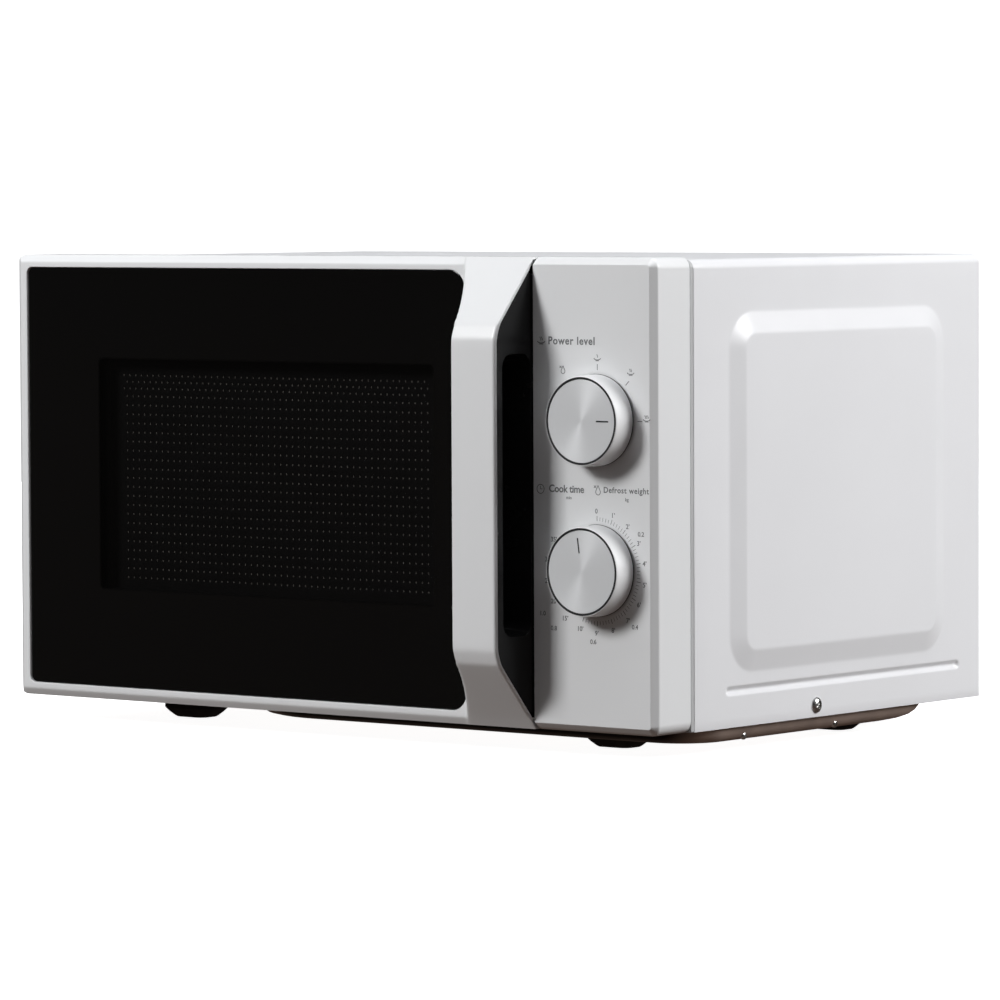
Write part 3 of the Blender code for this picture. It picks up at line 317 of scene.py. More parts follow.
def cut_from(piece, builder, overlapping=True):
    """Takes the builder's shells out of a piece, whose own shells may overlap."""
    cutter = builder.to_object("cutter")
    bpy.context.view_layer.update()
    step = piece.modifiers.new("cut", "BOOLEAN")
    step.operation = "DIFFERENCE"
    step.solver = "EXACT"
    step.use_self = overlapping
    step.object = cutter
    graph = bpy.context.evaluated_depsgraph_get()
    mesh = bpy.data.meshes.new_from_object(piece.evaluated_get(graph))
    piece.modifiers.clear()
    piece.data = mesh
    mesh.set_sharp_from_angle(angle=radians(30))
    bpy.data.objects.remove(cutter, do_unlink=True)


def settle_normals():
    """Large flat faces keep their own direction, so the shading of small edges doesn't spread over them."""
    for made in MADE:
        step = made.modifiers.new("shading", "WEIGHTED_NORMAL")
        step.mode = "FACE_AREA"
        step.weight = 100
        step.keep_sharp = True


# Materials ---------------------


class Look:
    """A Principled material with helpers for noise, colour variation and bump."""

    def __init__(self, name, color, roughness, metallic=0.0, **sockets):
        self.material = bpy.data.materials.new(name)
        self.material.use_nodes = True
        self.nodes = self.material.node_tree.nodes
        self.links = self.material.node_tree.links
        self.shader = self.nodes["Principled BSDF"]
        self.color = color
        self.set(Base_Color=(*color, 1.0), Roughness=roughness, Metallic=metallic, **sockets)
        self.place = self.node("TexCoord").outputs["Object"]

    def set(self, **values):
        """Sets the shader's own values; an underscore stands for a space in a socket's name."""
        for socket, value in values.items():
            self.shader.inputs[socket.replace("_", " ")].default_value = value

    def node(self, kind, source=None, entry=0, **values):
        """A node with its values set and one entry linked to a source."""
        made = self.nodes.new("ShaderNode" + kind)
        for socket, value in values.items():
            made.inputs[socket.replace("_", " ")].default_value = value
        if source is not None:
            self.links.new(source, made.inputs[entry])
        return made

    def noise(self, scale, detail=3.0, stretch=None):
        place = self.place
        if stretch:
            place = self.node("Mapping", place, "Vector", Scale=stretch).outputs["Vector"]
        return self.node("TexNoise", place, "Vector", Scale=scale, Detail=detail).outputs["Fac"]

    def cells(self, scale):
        return self.node("TexVoronoi", self.place, "Vector", Scale=scale).outputs["Distance"]

    def bands(self, scale, kind, direction):
        node = self.node("TexWave", self.place, "Vector", Scale=scale)
        node.wave_type = kind
        node.rings_direction = direction
        node.bands_direction = direction
        return node.outputs["Fac"]

    def spread(self, source, low, high, start=0.3, end=0.7):
        values = {"From Min": start, "From Max": end, "To Min": low, "To Max": high}
        return self.node("MapRange", source, "Value", **values).outputs["Result"]

    def to(self, source, socket):
        self.links.new(source, self.shader.inputs[socket])
        return self

    def shades(self, source, amount, start=0.3, end=0.7):
        """Base colour that drifts a little darker and lighter."""
        ramp = self.node("ValToRGB", source, "Fac")
        ends = ((start, [c * (1 - amount) for c in self.color]),
                (end, [min(1.0, c * (1 + amount)) for c in self.color]))
        for element, (position, color) in zip(ramp.color_ramp.elements, ends):
            element.position = position
            element.color = (*color, 1.0)
        return self.to(ramp.outputs["Color"], "Base Color")

    def painted_shade_before(self, start, end, share):
        """Painted shade: darker ahead of a place, where the front mouldings keep the light off."""
        depth = self.node("SeparateXYZ", self.place).outputs["Y"]
        color = self.shader.inputs["Base Color"].links[0].from_socket
        scaled = self.node("VectorMath", color)
        scaled.operation = "SCALE"
        self.links.new(self.spread(depth, share, 1.0, start, end), scaled.inputs["Scale"])
        return self.to(scaled.outputs["Vector"], "Base Color")

    def roughened(self, source, low, high, start=0.3, end=0.7):
        return self.to(self.spread(source, low, high, start, end), "Roughness")

    def bumps(self, source, distance, strength):
        node = self.node("Bump", source, "Height", Strength=strength, Distance=distance)
        return self.to(node.outputs["Normal"], "Normal")


def add_look(key, name, color, roughness, metallic=0.0, shade=None, rough=None, bump=None, **sockets):
    """A look under a key. shade is (noise, amount), rough is (noise, low, high) and bump is (noise,
    distance, strength), where noise holds a noise texture's scale, detail and stretch."""
    look = Look(name, color, roughness, metallic, **sockets)
    for step, made in ((shade, look.shades), (rough, look.roughened), (bump, look.bumps)):
        if step:
            made(look.noise(*step[0]), *step[1:])
    LOOKS[key] = look.material
    return look


def make_looks():
    add_look("enamel", "powder_coated_steel", (0.80, 0.805, 0.825), 0.32, shade=((9.0,), 0.012),
             rough=((60.0,), 0.28, 0.38), bump=((900.0, 2.0), 0.00004, 0.5))
    add_look("white", "satin_white_moulding", (0.795, 0.805, 0.815), 0.34, shade=((12.0,), 0.01),
             rough=((140.0,), 0.30, 0.40), bump=((2600.0, 2.0), 0.000012, 0.6), Coat_Weight=0.15)
    add_look("gloss", "gloss_black_moulding", (0.010, 0.010, 0.0104), 0.24, rough=((35.0, 4.0), 0.2, 0.28),
             bump=((400.0,), 0.000008, 0.4), Specular_IOR_Level=0.2)
    add_look("black", "black_moulding", (0.014, 0.014, 0.015), 0.42, rough=((120.0,), 0.36, 0.5),
             bump=((3200.0, 2.0), 0.00002, 0.7))
    zinc = add_look("zinc", "zinc_coated_steel", (0.46, 0.45, 0.44), 0.36, 1.0,
                    rough=((70.0, 4.0), 0.28, 0.46), bump=((700.0, 3.0), 0.00001, 0.5))
    zinc.shades(zinc.cells(120.0), 0.10, 0.0, 0.9)
    # The tray's warm brown tint is a painted reflection of the brown table top under the oven.
    pan = add_look("pan", "galvanised_pan_painted_reflection_and_shade", (0.50, 0.395, 0.34), 0.42, 0.75, Specular_IOR_Level=0.15,
                   rough=((50.0, 4.0), 0.36, 0.52), bump=((500.0, 3.0), 0.000012, 0.5))
    # The tray's front is painted darker: painted shade under the door and the panel, which keep the light off
    # it.
    pan.shades(pan.cells(90.0), 0.09, 0.0, 0.9).painted_shade_before(FACE + 37 * MM, FACE + 50 * MM, 0.02)
    add_look("steel", "bright_plated_steel", (0.62, 0.62, 0.61), 0.22, 1.0, shade=((90.0,), 0.06),
             rough=((220.0, 3.0), 0.16, 0.32))
    spun = add_look("spun", "spun_aluminium", (0.76, 0.775, 0.79), 0.38, 0.16, Anisotropic=0.7,
                    Anisotropic_Rotation=0.25)
    tangent = spun.node("Tangent")
    tangent.direction_type = "RADIAL"
    tangent.axis = "Y"
    rings = spun.bands(2600.0, "RINGS", "Y")
    spun.to(tangent.outputs["Tangent"], "Tangent")
    spun.roughened(rings, 0.31, 0.37, 0.0, 1.0).bumps(rings, 0.0000012, 0.4)
    add_look("silver", "satin_silver_paint", (0.83, 0.835, 0.845), 0.6, 0.05, shade=((1800.0, 1.0), 0.012),
             rough=((300.0,), 0.56, 0.62), Specular_IOR_Level=0.3)
    add_look("rubber", "black_rubber", (0.006, 0.006, 0.006), 0.62, rough=((160.0,), 0.52, 0.74),
             bump=((1500.0, 3.0), 0.00004, 0.7), Specular_IOR_Level=0.2)
    # The cavity walls glow faintly in a warm colour: painted light, so that the door screen's holes show
    # bright, though no lamp is lit.
    cavity = add_look("cavity", "cavity_enamel", (0.50, 0.505, 0.50), 0.30, bump=((700.0,), 0.00003, 0.5),
                      Emission_Color=(1.0, 0.93, 0.84, 1.0))
    cavity.shades(cavity.cells(1500.0), 0.10, 0.1, 0.7)
    cavity.to(cavity.spread(cavity.noise(11.0, 2.0), 0.04, 0.09), "Emission Strength")
    add_look("screen", "screen_black_enamel", (0.003, 0.003, 0.0032), 0.6, rough=((90.0,), 0.5, 0.62),
             bump=((1200.0, 2.0), 0.00002, 0.5), Specular_IOR_Level=0.12)
    core = add_look("core", "stacked_lamination_steel", (0.10, 0.095, 0.09), 0.5, 0.7, shade=((60.0,), 0.2))
    core.bumps(core.bands(320.0, "BANDS", "Y"), 0.00015, 0.6)
    copper = add_look("copper", "enamelled_copper_wire", (0.55, 0.19, 0.07), 0.28, 1.0)
    wires = copper.bands(180.0, "BANDS", "Z")
    copper.bumps(wires, 0.0005, 0.8).shades(wires, 0.25, 0.0, 1.0)
    add_look("aluminium", "drawn_aluminium", (0.75, 0.76, 0.77), 0.28, 1.0,
             rough=((40.0, 3.0, (1, 30, 1)), 0.2, 0.36))
    add_look("nylon", "natural_nylon", (0.72, 0.71, 0.66), 0.45, shade=((25.0,), 0.02),
             bump=((1800.0, 2.0), 0.00002, 0.5), Subsurface_Weight=0.08)
    mica = add_look("mica", "pressed_mica", (0.50, 0.43, 0.34), 0.42, bump=((420.0, 4.0), 0.00006, 0.6))
    mica.shades(mica.cells(260.0), 0.16, 0.0, 0.8)
    add_look("board", "phenolic_board", (0.30, 0.18, 0.07), 0.5, shade=((500.0, 4.0, (1, 1, 8)), 0.12),
             bump=((900.0,), 0.00002, 0.5))
    add_look("bulb", "clear_lamp_glass", (0.95, 0.95, 0.92), 0.04, rough=((60.0,), 0.02, 0.06),
             Transmission_Weight=1.0, IOR=1.47)
    add_look("tray", "tempered_tray_glass", (0.90, 0.95, 0.93), 0.03, rough=((30.0,), 0.02, 0.07),
             bump=((45.0, 1.0), 0.00008, 0.3), Transmission_Weight=1.0, IOR=1.5)
    add_look("film", "clear_window_film", (0.85, 0.87, 0.87), 0.08, rough=((25.0, 3.0), 0.05, 0.14),
             Alpha=0.22)
    add_look("ink", "grey_dial_print", (0.16, 0.165, 0.17), 0.5, shade=((900.0,), 0.1))
    # Mid grey for the hem seen in the narrow gap at the cover's front edge: painted shade in the gap, darker
    # than the enamel it stands for.
    add_look("gap_shade", "painted_gap_shade", (0.47, 0.475, 0.485), 0.45, shade=((15.0,), 0.03),
             rough=((70.0,), 0.4, 0.5))
    # Near black for the pointer and the knobs' two dark rings; the rings are black trim and also paint the
    # shadow in the gaps at the face's rim and the knob's base.
    add_look("seam_and_shadow", "knob_shadow_ring", (0.020, 0.020, 0.022), 0.35, rough=((500.0,), 0.3, 0.42))
    make_glass_look()


def make_glass_look():
    """Gloss black print with a clear window: the mask is a rounded box worked out from the place."""
    look = add_look("glass", "printed_door_glass", (0.0022, 0.0024, 0.0025), 0.02,
                    rough=((18.0, 4.0), 0.015, 0.04))
    place = look.node("SeparateXYZ", look.place)

    def math(operation, *values):
        node = look.node("Math")
        node.operation = operation
        for socket, value in zip(node.inputs, values):
            if isinstance(value, (int, float)):
                socket.default_value = value
            else:
                look.links.new(value, socket)
        return node.outputs[0]

    squares = []
    for axis, low, high in zip("XZ", WINDOW_LOW, WINDOW_HIGH):
        offset = math("ABSOLUTE", math("SUBTRACT", place.outputs[axis], (low + high) / 2))
        reach = math("MAXIMUM", math("SUBTRACT", offset, (high - low) / 2 - WINDOW_RADIUS), 0.0)
        squares.append(math("MULTIPLY", reach, reach))
    distance = math("SUBTRACT", math("SQRT", math("ADD", *squares)), WINDOW_RADIUS)
    look.to(look.spread(distance, 0.30, 1.0, -WINDOW_SOFT, WINDOW_SOFT), "Alpha")


# Cabinet -----------------------


def box_distance(u, v, low, high, radius):
    """Signed distance to a rounded rectangle: negative inside."""
    du = max(low[0] + radius - u, u - (high[0] - radius), 0.0)
    dv = max(low[1] + radius - v, v - (high[1] - radius), 0.0)
    if du == 0 and dv == 0:
        return max(low[0] - u, u - high[0], low[1] - v, v - high[1])
    return hypot(du, dv) - radius


def eased(share):
    """From 0 to 1 with a straight middle and short round ends."""
    share = clamp(share)
    end = 0.07
    slope = 1 / (1 - end)
    if share < end:
        return slope * share * share / (2 * end)
    if share > 1 - end:
        return 1 - slope * (1 - share) ** 2 / (2 * end)
    return slope * (share - end / 2)


def side_relief(y, z):
    """How far the cover's side stands out at a point: the raised panel less the pressed rib."""
    base = -box_distance(y, z, EMBOSS_LOW, EMBOSS_HIGH, EMBOSS_CORNER)
    over = box_distance(y, z, *shrunk(EMBOSS_LOW, EMBOSS_HIGH, EMBOSS_SLOPE), EMBOSS_TOP_CORNER)
    if base <= 0:
        share = 0.0
    elif over <= 0:
        share = 1.0
    else:
        share = base / (base + over)
    rib = -box_distance(y, z, RIB_LOW, RIB_HIGH, RIB_CORNER)
    return EMBOSS_RISE * eased(share) - RIB_DEPTH * eased(rib / RIB_SLOPE)


def make_cover():
    """Top and sides in one sheet, with the raised panel and the rib pressed into each side."""
    fine, middle, coarse, rib_step = mm(0.9, 6, 8, 0.5)
    band = 34 * MM
    front, rear = COVER_LOW.y - FACE, COVER_HIGH.y - FACE
    low, high = COVER_LOW.z, COVER_HIGH.z
    corner_z = high - COVER_CORNER
    inner_low, inner_high = shrunk(EMBOSS_LOW, EMBOSS_HIGH, band)
    rib_low, rib_high = shrunk(RIB_LOW, RIB_HIGH, -1 * MM)
    near, far = RIB_LOW[0] - 2 * MM, RIB_HIGH[0] + 2 * MM
    top = EMBOSS_HIGH[1] + 1 * MM
    ys = stations([(front, near, 12 * MM), (near, inner_low[0], fine), (inner_low[0], inner_high[0], coarse),
                   (inner_high[0], far, fine), (far, rear, coarse)])
    zs = stations([(low, rib_low[1], middle), (rib_low[1], rib_high[1], rib_step),
                   (rib_high[1], inner_low[1], fine), (inner_low[1], inner_high[1], coarse),
                   (inner_high[1], top, fine), (top, corner_z, middle)])
    arc = 8
    turns = [k / arc * pi / 2 for k in range(1, arc + 1)]
    across = HALF - COVER_CORNER
    builder = Builder()
    rows = []
    for y in ys:
        row = [(-HALF - side_relief(y, z), z) for z in zs]
        row += [(-across - COVER_CORNER * cos(a), corner_z + COVER_CORNER * sin(a)) for a in turns]
        row += [(-across + 2 * across * k / 20, high) for k in range(1, 20)]
        row += [(across + COVER_CORNER * sin(a), corner_z + COVER_CORNER * cos(a)) for a in [0.0] + turns]
        row += [(HALF + side_relief(y, z), z) for z in reversed(zs[:-1])]
        rows.append(builder.loop(in_front_plane(row, y)))
    builder.chain(rows, {len(rows[0]) - 1})
    cover = builder.piece("cabinet_shell", "oven", "enamel", "enamel", ["cabinet_cover"])
    thicken(cover, SHEET)


def make_hem():
    """The cover's front edge, folded inwards behind the gap to the front mouldings, in a mid grey that paints
    the shade in the gap.
    """
    gap = SHEET + 0.02 * MM
    left, low, high = -HALF + gap, COVER_LOW.z + 0.5 * MM, (HALF - gap, COVER_HIGH.z - gap)
    swing_room = 8.0 * MM
    corners = mm(1.0, 1.0, 4.2, 4.2)
    profile = ((0.0, 35.5, 0), (0.0, 33.22, 0), (-0.6, 33.2, 1), (-0.6, 30.9, 1), (-0.48, 30.7, 1),
               (0.48, 30.7, 1), (0.6, 30.9, 1), (0.6, 35.5, 0))
    loops = []
    for inset, y, room in profile:
        near = (left + inset * MM + room * swing_room, low + inset * MM)
        far = tuple(c - inset * MM for c in high)
        loops.append(in_front_plane(rounded(near, far, corners, 6), y * MM))
    builder = Builder()
    builder.loft(loops, ring=True)
    builder.piece("cover_front_hem", "oven", "gap_shade", "enamel")


# Door --------------------------


def bar_profile(z):
    """The handle bar's reach at a height, with its two shoulders rounded."""
    from_end = min(z - BAR_BOTTOM, BAR_TOP - z)
    bend = REACH / BAR_SLOPE - SHOULDER_IN
    shoulder = REACH - SHOULDER_SLOPE * (bend + SHOULDER_HEIGHT - from_end)
    return smooth_min(smooth_min(BAR_SLOPE * from_end, shoulder, 0.5 * MM), REACH, 0.7 * MM)


def bar_wall(x):
    """The reach that the bar's left wall allows at a place across the door."""
    left = GLASS_HIGH.x + 0.3 * MM
    share = clamp((BAR_LEFT_FRONT - x) / (BAR_LEFT_FRONT - left))
    if x < left:
        return (x - left) * 2
    return REACH * (1 - share ** 0.625) + max(0.0, x - BAR_LEFT_FRONT) * 30


def door_relief(x, z):
    """How far the door's moulding stands forward of the panel's face."""
    top = (z - (TOP - CHAMFER)) * CHAMFER_DEPTH / CHAMFER
    bottom = ((BOTTOM + CHAMFER) - z) * LOWER_SLOPE
    left = (-HALF + SIDE_CHAMFER - x) * CHAMFER_DEPTH / SIDE_CHAMFER
    edge = smooth_max(smooth_max(top, bottom, 0.3 * MM), max(left, -0.05), 0.3 * MM)
    flat = -smooth_max(edge, 0.0, 0.5 * MM) + 0.12 * MM
    bar = smooth_min(bar_profile(z), bar_wall(x), 1.2 * MM)
    relief = min(smooth_max(flat, bar, 0.8 * MM), REACH)
    radius = min(1.9 * MM, max(0.3 * MM, relief * 0.5))
    inside = clamp(radius - (DOOR_RIGHT - x), 0.0, radius)
    return relief - (radius - sqrt(radius ** 2 - inside ** 2))


def along(points, count):
    """Evenly spaced points along a line of points, from its start and short of its end."""
    lengths = [0.0]
    for a, b in zip(points, points[1:]):
        lengths.append(lengths[-1] + hypot(b[0] - a[0], b[1] - a[1]))
    spaced = []
    leg = 0
    for k in range(count):
        target = lengths[-1] * k / count
        while lengths[leg + 1] < target:
            leg += 1
        share = (target - lengths[leg]) / (lengths[leg + 1] - lengths[leg])
        a, b = points[leg], points[leg + 1]
        spaced.append((a[0] + (b[0] - a[0]) * share, a[1] + (b[1] - a[1]) * share))
    return spaced


def corner_arcs(low, high, radii):
    """A rounded rectangle's four corner arcs, and the number of steps in each."""
    steps = 12
    points = rounded(low, high, radii, steps)
    return [points[k * (steps + 1):(k + 1) * (steps + 1)] for k in range(4)], steps


def door_pairs():
    """Matching points round the glass opening and round the door's outer edge, counter-clockwise."""
    opening = shrunk((GLASS_LOW.x, GLASS_LOW.z), (GLASS_HIGH.x, GLASS_HIGH.z), -OPENING_GAP)
    (a, b, c, d), steps = corner_arcs(*opening, GLASS_RADII)
    (low_left, low_right, high_right, high_left), _ = corner_arcs(
        (-HALF, BOTTOM), (DOOR_RIGHT, TOP), (CORNER, SQUARE_CORNER, SQUARE_CORNER, CORNER))
    low_start, low_end = (a[-1][0], BOTTOM), (b[0][0], BOTTOM)
    right_start, right_end = (DOOR_RIGHT, b[-1][1]), (DOOR_RIGHT, c[0][1])
    top_start, top_end = (b[0][0], TOP), (a[-1][0], TOP)
    corner_count, wall_count, side_count, left_count = 72, 300, 60, 30
    spans = (
        (a, low_left + [low_start], steps),
        ([a[-1], b[0]], [low_start, low_end], side_count),
        (b, [low_end] + low_right + [right_start], corner_count),
        ([b[-1], c[0]], [right_start, right_end], wall_count),
        (c, [right_end] + high_right + [top_start], corner_count),
        ([c[-1], d[0]], [top_start, top_end], side_count),
        (d, [top_end] + high_left, steps),
        ([d[-1], a[0]], [high_left[-1], low_left[0]], left_count),
    )
    inner = [point for near, _, count in spans for point in along(near, count)]
    outer = [point for _, far, count in spans for point in along(far, count)]
    return inner, outer


def hinge_notches():
    """Cutters that let the door's edge swing past the two hinge brackets."""
    notches = Builder()
    for node, side in (("hinge_bracket_upper", 1), ("hinge_bracket_lower", -1)):
        low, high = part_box(node)
        level = (low.z + high.z) / 2
        outline = rounded((-HALF - 5 * MM, 14.7 * MM), (low.x + 11.2 * MM, 35.4 * MM), 0.5 * MM, 2)
        levels = sorted((level - side * 0.5 * MM, level + side * 2.0 * MM))
        notches.loft([in_floor_plane(outline, z) for z in levels])
    return notches


def make_door_frame():
    inner, outer = door_pairs()
    builder = Builder()
    rows = [builder.loop(in_front_plane(inner, y)) for y in mm(5.0, 0.35)]
    for share in stations([(0.0, 0.06, 0.015), (0.06, 0.96, 0.02), (0.96, 1.0, 0.01)]):
        ring = []
        for (u, v), (x, z) in zip(inner, outer):
            first = OPENING_GAP / hypot(x - u, z - v)
            grow = first + (1 - first) * share
            across, up = u + (x - u) * grow, v + (z - v) * grow
            ring.append((across, FACE - door_relief(across, up), up))
        rows.append(builder.loop(ring))
    builder.chain(rows)
    right_side = {i for i, (x, z) in enumerate(outer) if x > DOOR_RIGHT - 0.01 * MM}
    open_wall = {i for i in right_side if (i + 1) % len(outer) in right_side}
    stepped_in = [(max(x, -HALF + REAR_CHAMFER), z) for x, z in outer]
    sides = [builder.loop(in_front_plane(outline, y))
             for outline, y in ((outer, CHAMFER_DEPTH + 1.5 * MM), (outer, FRONT_DEPTH - REAR_CHAMFER),
                                (stepped_in, FRONT_DEPTH))]
    builder.chain([rows[-1]] + sides, open_wall)
    moulding = builder.piece("door_moulding", "door", "white", "white_plastic", ["door_frame"], 28)
    thicken(moulding, BAR_SKIN)
    cut_from(moulding, hinge_notches())
    edge = Builder()
    wall = rounded((DOOR_RIGHT - 2.2 * MM, 5.0 * MM), (DOOR_RIGHT, FRONT_DEPTH), 0.5 * MM, 3)
    edge.loft([in_floor_plane(wall, z) for z in (BOTTOM + 2.4 * MM, TOP - 2.4 * MM)])
    edge.piece("door_latch_side_wall", "door", "white", "white_plastic")


def make_door_glass():
    front, back = GLASS_LOW.y - FACE, GLASS_HIGH.y - FACE
    edge = 0.35 * MM
    loops = []
    for inset, y in ((edge, front), (edge * 0.3, front + edge * 0.3), (0.0, front + edge), (0.0, back - edge),
                     (edge, back)):
        radii = tuple(max(radius - inset, 0.5 * MM) for radius in GLASS_RADII)
        box = shrunk((GLASS_LOW.x, GLASS_LOW.z), (GLASS_HIGH.x, GLASS_HIGH.z), inset)
        loops.append(in_front_plane(rounded(*box, radii, 10), y))
    builder = Builder()
    builder.loft(loops)
    builder.piece("door_glass_pane", "door", "glass", "dark_glass", ["door_glass"])


def latch_slots():
    """Outlines of the two slots that the latch's hooks pass through."""
    return [rounded(mm(121.5, z - 8), mm(130.5, z + 12), 1.0 * MM, 3) for z in (186.0, 82.0)]


def make_mesh_screen():
    """The door's inner panel: a pressed tray whose floor is a screen of small round holes."""
    half_u = MESH_PITCH / 2
    columns = int((MESH_RIGHT - MESH_LEFT) / MESH_PITCH)
    v = MESH_BOTTOM
    builder = Builder()
    for row in range(MESH_ROWS + MESH_TOP_ROWS):
        upper = row - MESH_ROWS
        half_v = (MESH_ROW if upper < 0 else MESH_TOP_ROW) / 2
        shift = -half_u if upper >= 0 and upper % 2 == 0 else 0.0
        v += half_v
        for column in range(columns):
            u = MESH_LEFT + half_u + column * MESH_PITCH + shift
            tile = [(u + a * half_u, v + b * half_v) for a, b in
                    ((1, 0), (1, 1), (0, 1), (-1, 1), (-1, 0), (-1, -1), (0, -1), (1, -1))]
            hole = circle((u, v), MESH_HOLE, len(tile))
            builder.stack(in_front_plane, ((tile, WELL_FLOOR), (hole, WELL_FLOOR)))
        v += half_v
    bmesh.ops.remove_doubles(builder.mesh, verts=builder.mesh.verts, dist=0.02 * MM)
    border = [edge for edge in builder.mesh.edges if edge.is_boundary]
    outside = [edge for edge in border if edge.calc_length() > MESH_TOP_ROW * 0.4]
    flange = INNER_HIGH.y - FACE - 0.5 * MM
    walls = builder.stack(in_front_plane, [
        (rounded(*shrunk(WELL_LOW, WELL_HIGH, -grow * MM), corner * MM, 6), y)
        for grow, y, corner in ((0.0, WELL_FLOOR, 5.0), (1.0, WELL_FLOOR + 0.4 * MM, 5.5),
                                (5.2, flange - 1.0 * MM, 7.0), (6.6, flange, 8.5))])
    well = walls[0]
    rim = [builder.mesh.edges.get((well[i - 1], well[i])) for i in range(len(well))]
    bmesh.ops.triangle_fill(builder.mesh, use_beauty=True, use_dissolve=False, edges=outside + rim)
    outline = rounded((INNER_LOW.x + 1.0 * MM, INNER_LOW.z), (INNER_HIGH.x, INNER_HIGH.z), 4.0 * MM, 6)
    edge_loop = builder.loop(in_front_plane(outline, flange))
    slots = [builder.loop(in_front_plane(slot, flange)) for slot in latch_slots()]
    builder.fill(edge_loop, walls[-1], *slots)
    thicken(builder.piece("door_screen", "door", "screen", "dark_steel", ["door_inner_panel"]), 0.45 * MM)


def make_handle_liner():
    """The gloss black inner side of the handle, with a pocket for the fingers."""
    inset = BAR_SKIN + 0.25 * MM
    left, right, back = 117.0 * MM, DOOR_RIGHT - 0.3 * MM, 2.7 * MM
    margin = (inset + 1.0 * MM) / BAR_SLOPE + inset
    lowest, highest = BAR_BOTTOM + margin, BAR_TOP - margin
    bend_low, bend_high = mm(75, 195)
    heights = stations([(lowest, bend_low, 2.0 * MM), (bend_low, bend_high, 20 * MM),
                        (bend_high, highest, 2.0 * MM)])
    outline = [(-(bar_profile(z) - inset), z) for z in heights] + [(back, highest), (back, lowest)]
    pocket_low = (4.5 * MM + BAR_SKIN - REACH, 62.0 * MM)
    pocket_high = mm(-1.0, 206.5)
    builder = Builder()
    outer_left, outer_right = builder.stack(in_side_plane, ((outline, left), (outline, right)))
    builder.mesh.faces.new(outer_left)
    pocket = builder.stack(in_side_plane, [
        (rounded(*shrunk(pocket_low, pocket_high, by * MM), corner * MM, 6), right - depth * MM)
        for by, depth, corner in ((0.0, 0.0, 7.0), (0.15, 0.05, 6.9), (0.25, 0.2, 6.8), (0.9, 5.0, 6.0),
                                  (2.3, 15.0, 5.2), (3.4, 17.4, 4.4), (5.0, 18.0, 3.0))])
    builder.fill(outer_right, pocket[0])
    builder.mesh.faces.new(pocket[-1])
    builder.piece("handle_grip_liner", "door", "gloss", "gloss_black", ["handle_liner"])


def make_door_back():
    """Frame round the screen on the door's inner side, with a stepped lip."""
    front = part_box("choke_cover")[0].y - FACE
    levels = (front, FRONT_DEPTH - 0.6 * MM, FRONT_DEPTH)
    rim = [rounded(*shrunk(mm(-206.0, 18.5), mm(137.5, 250.5), by), 3.0 * MM, 5) for by in mm(0, 0, 0.6)]
    window = [rounded(*shrunk(mm(-174.0, 58.0), mm(89.0, 212.0), by), 6.0 * MM) for by in mm(0, 0, -0.8)]
    builder = Builder()
    shells = [builder.stack(in_front_plane, zip(outlines, levels)) for outlines in (rim, window)]
    shells += [builder.stack(in_front_plane, ((slot, front), (slot, FRONT_DEPTH))) for slot in latch_slots()]
    for end in (0, -1):
        builder.fill(*[shell[end] for shell in shells])
    builder.piece("door_choke_frame", "door", "black", "black_plastic", ["choke_cover"])


# Control panel -----------------


def panel_outline(ends, right, corner, left=0.0):
    """The panel drawn in by millimetres at its ends, right and left, with square corners at the door."""
    radii = (SQUARE_CORNER, corner * MM, corner * MM, SQUARE_CORNER)
    low = (PANEL_LEFT + left * MM, BOTTOM + ends * MM)
    return rounded(low, (HALF - right * MM, TOP - ends * MM), radii)


def make_panel():
    back = FRONT_DEPTH / MM
    rows = [(3.95, 3.20, 1.2, 0.0), (3.70, 3.00, 1.4, 0.07), (3.50, 2.80, 1.6, 0.28), (1.05, 0.35, 4.6, 3.1),
            (0.80, 0.10, 4.9, 3.6), (0.60, 0.0, 5.1, 4.2), (0.15, 0.0, 5.8, 4.9), (0.0, 0.0, 6.0, 5.6),
            (0.0, 0.0, 6.0, back - 0.4), (0.4, 0.4, 5.6, back)]
    outlines = [(panel_outline(ends, right, corner), y * MM) for ends, right, corner, y in rows]
    outlines += [(panel_outline(2.2, 2.2, 4, 2.2), FRONT_DEPTH), (panel_outline(6, 2.8, 3, 2.2), 2.2 * MM)]
    builder = Builder()
    loops = builder.stack(in_front_plane, outlines)
    holes = []
    for z in (POWER_Z, TIMER_Z):
        bore = ((6.0, 0.0), (5.2, 0.4), (4.5, 0.6), (4.5, 2.2))
        rings = [(circle((KNOB_X, z), radius * MM, 64), y * MM) for radius, y in bore]
        holes.append(builder.stack(in_front_plane, rings))
    for end in (0, -1):
        builder.fill(loops[end], *[hole[end] for hole in holes])
    builder.piece("control_panel_shell", "oven", "white", "white_plastic", ["control_panel"])


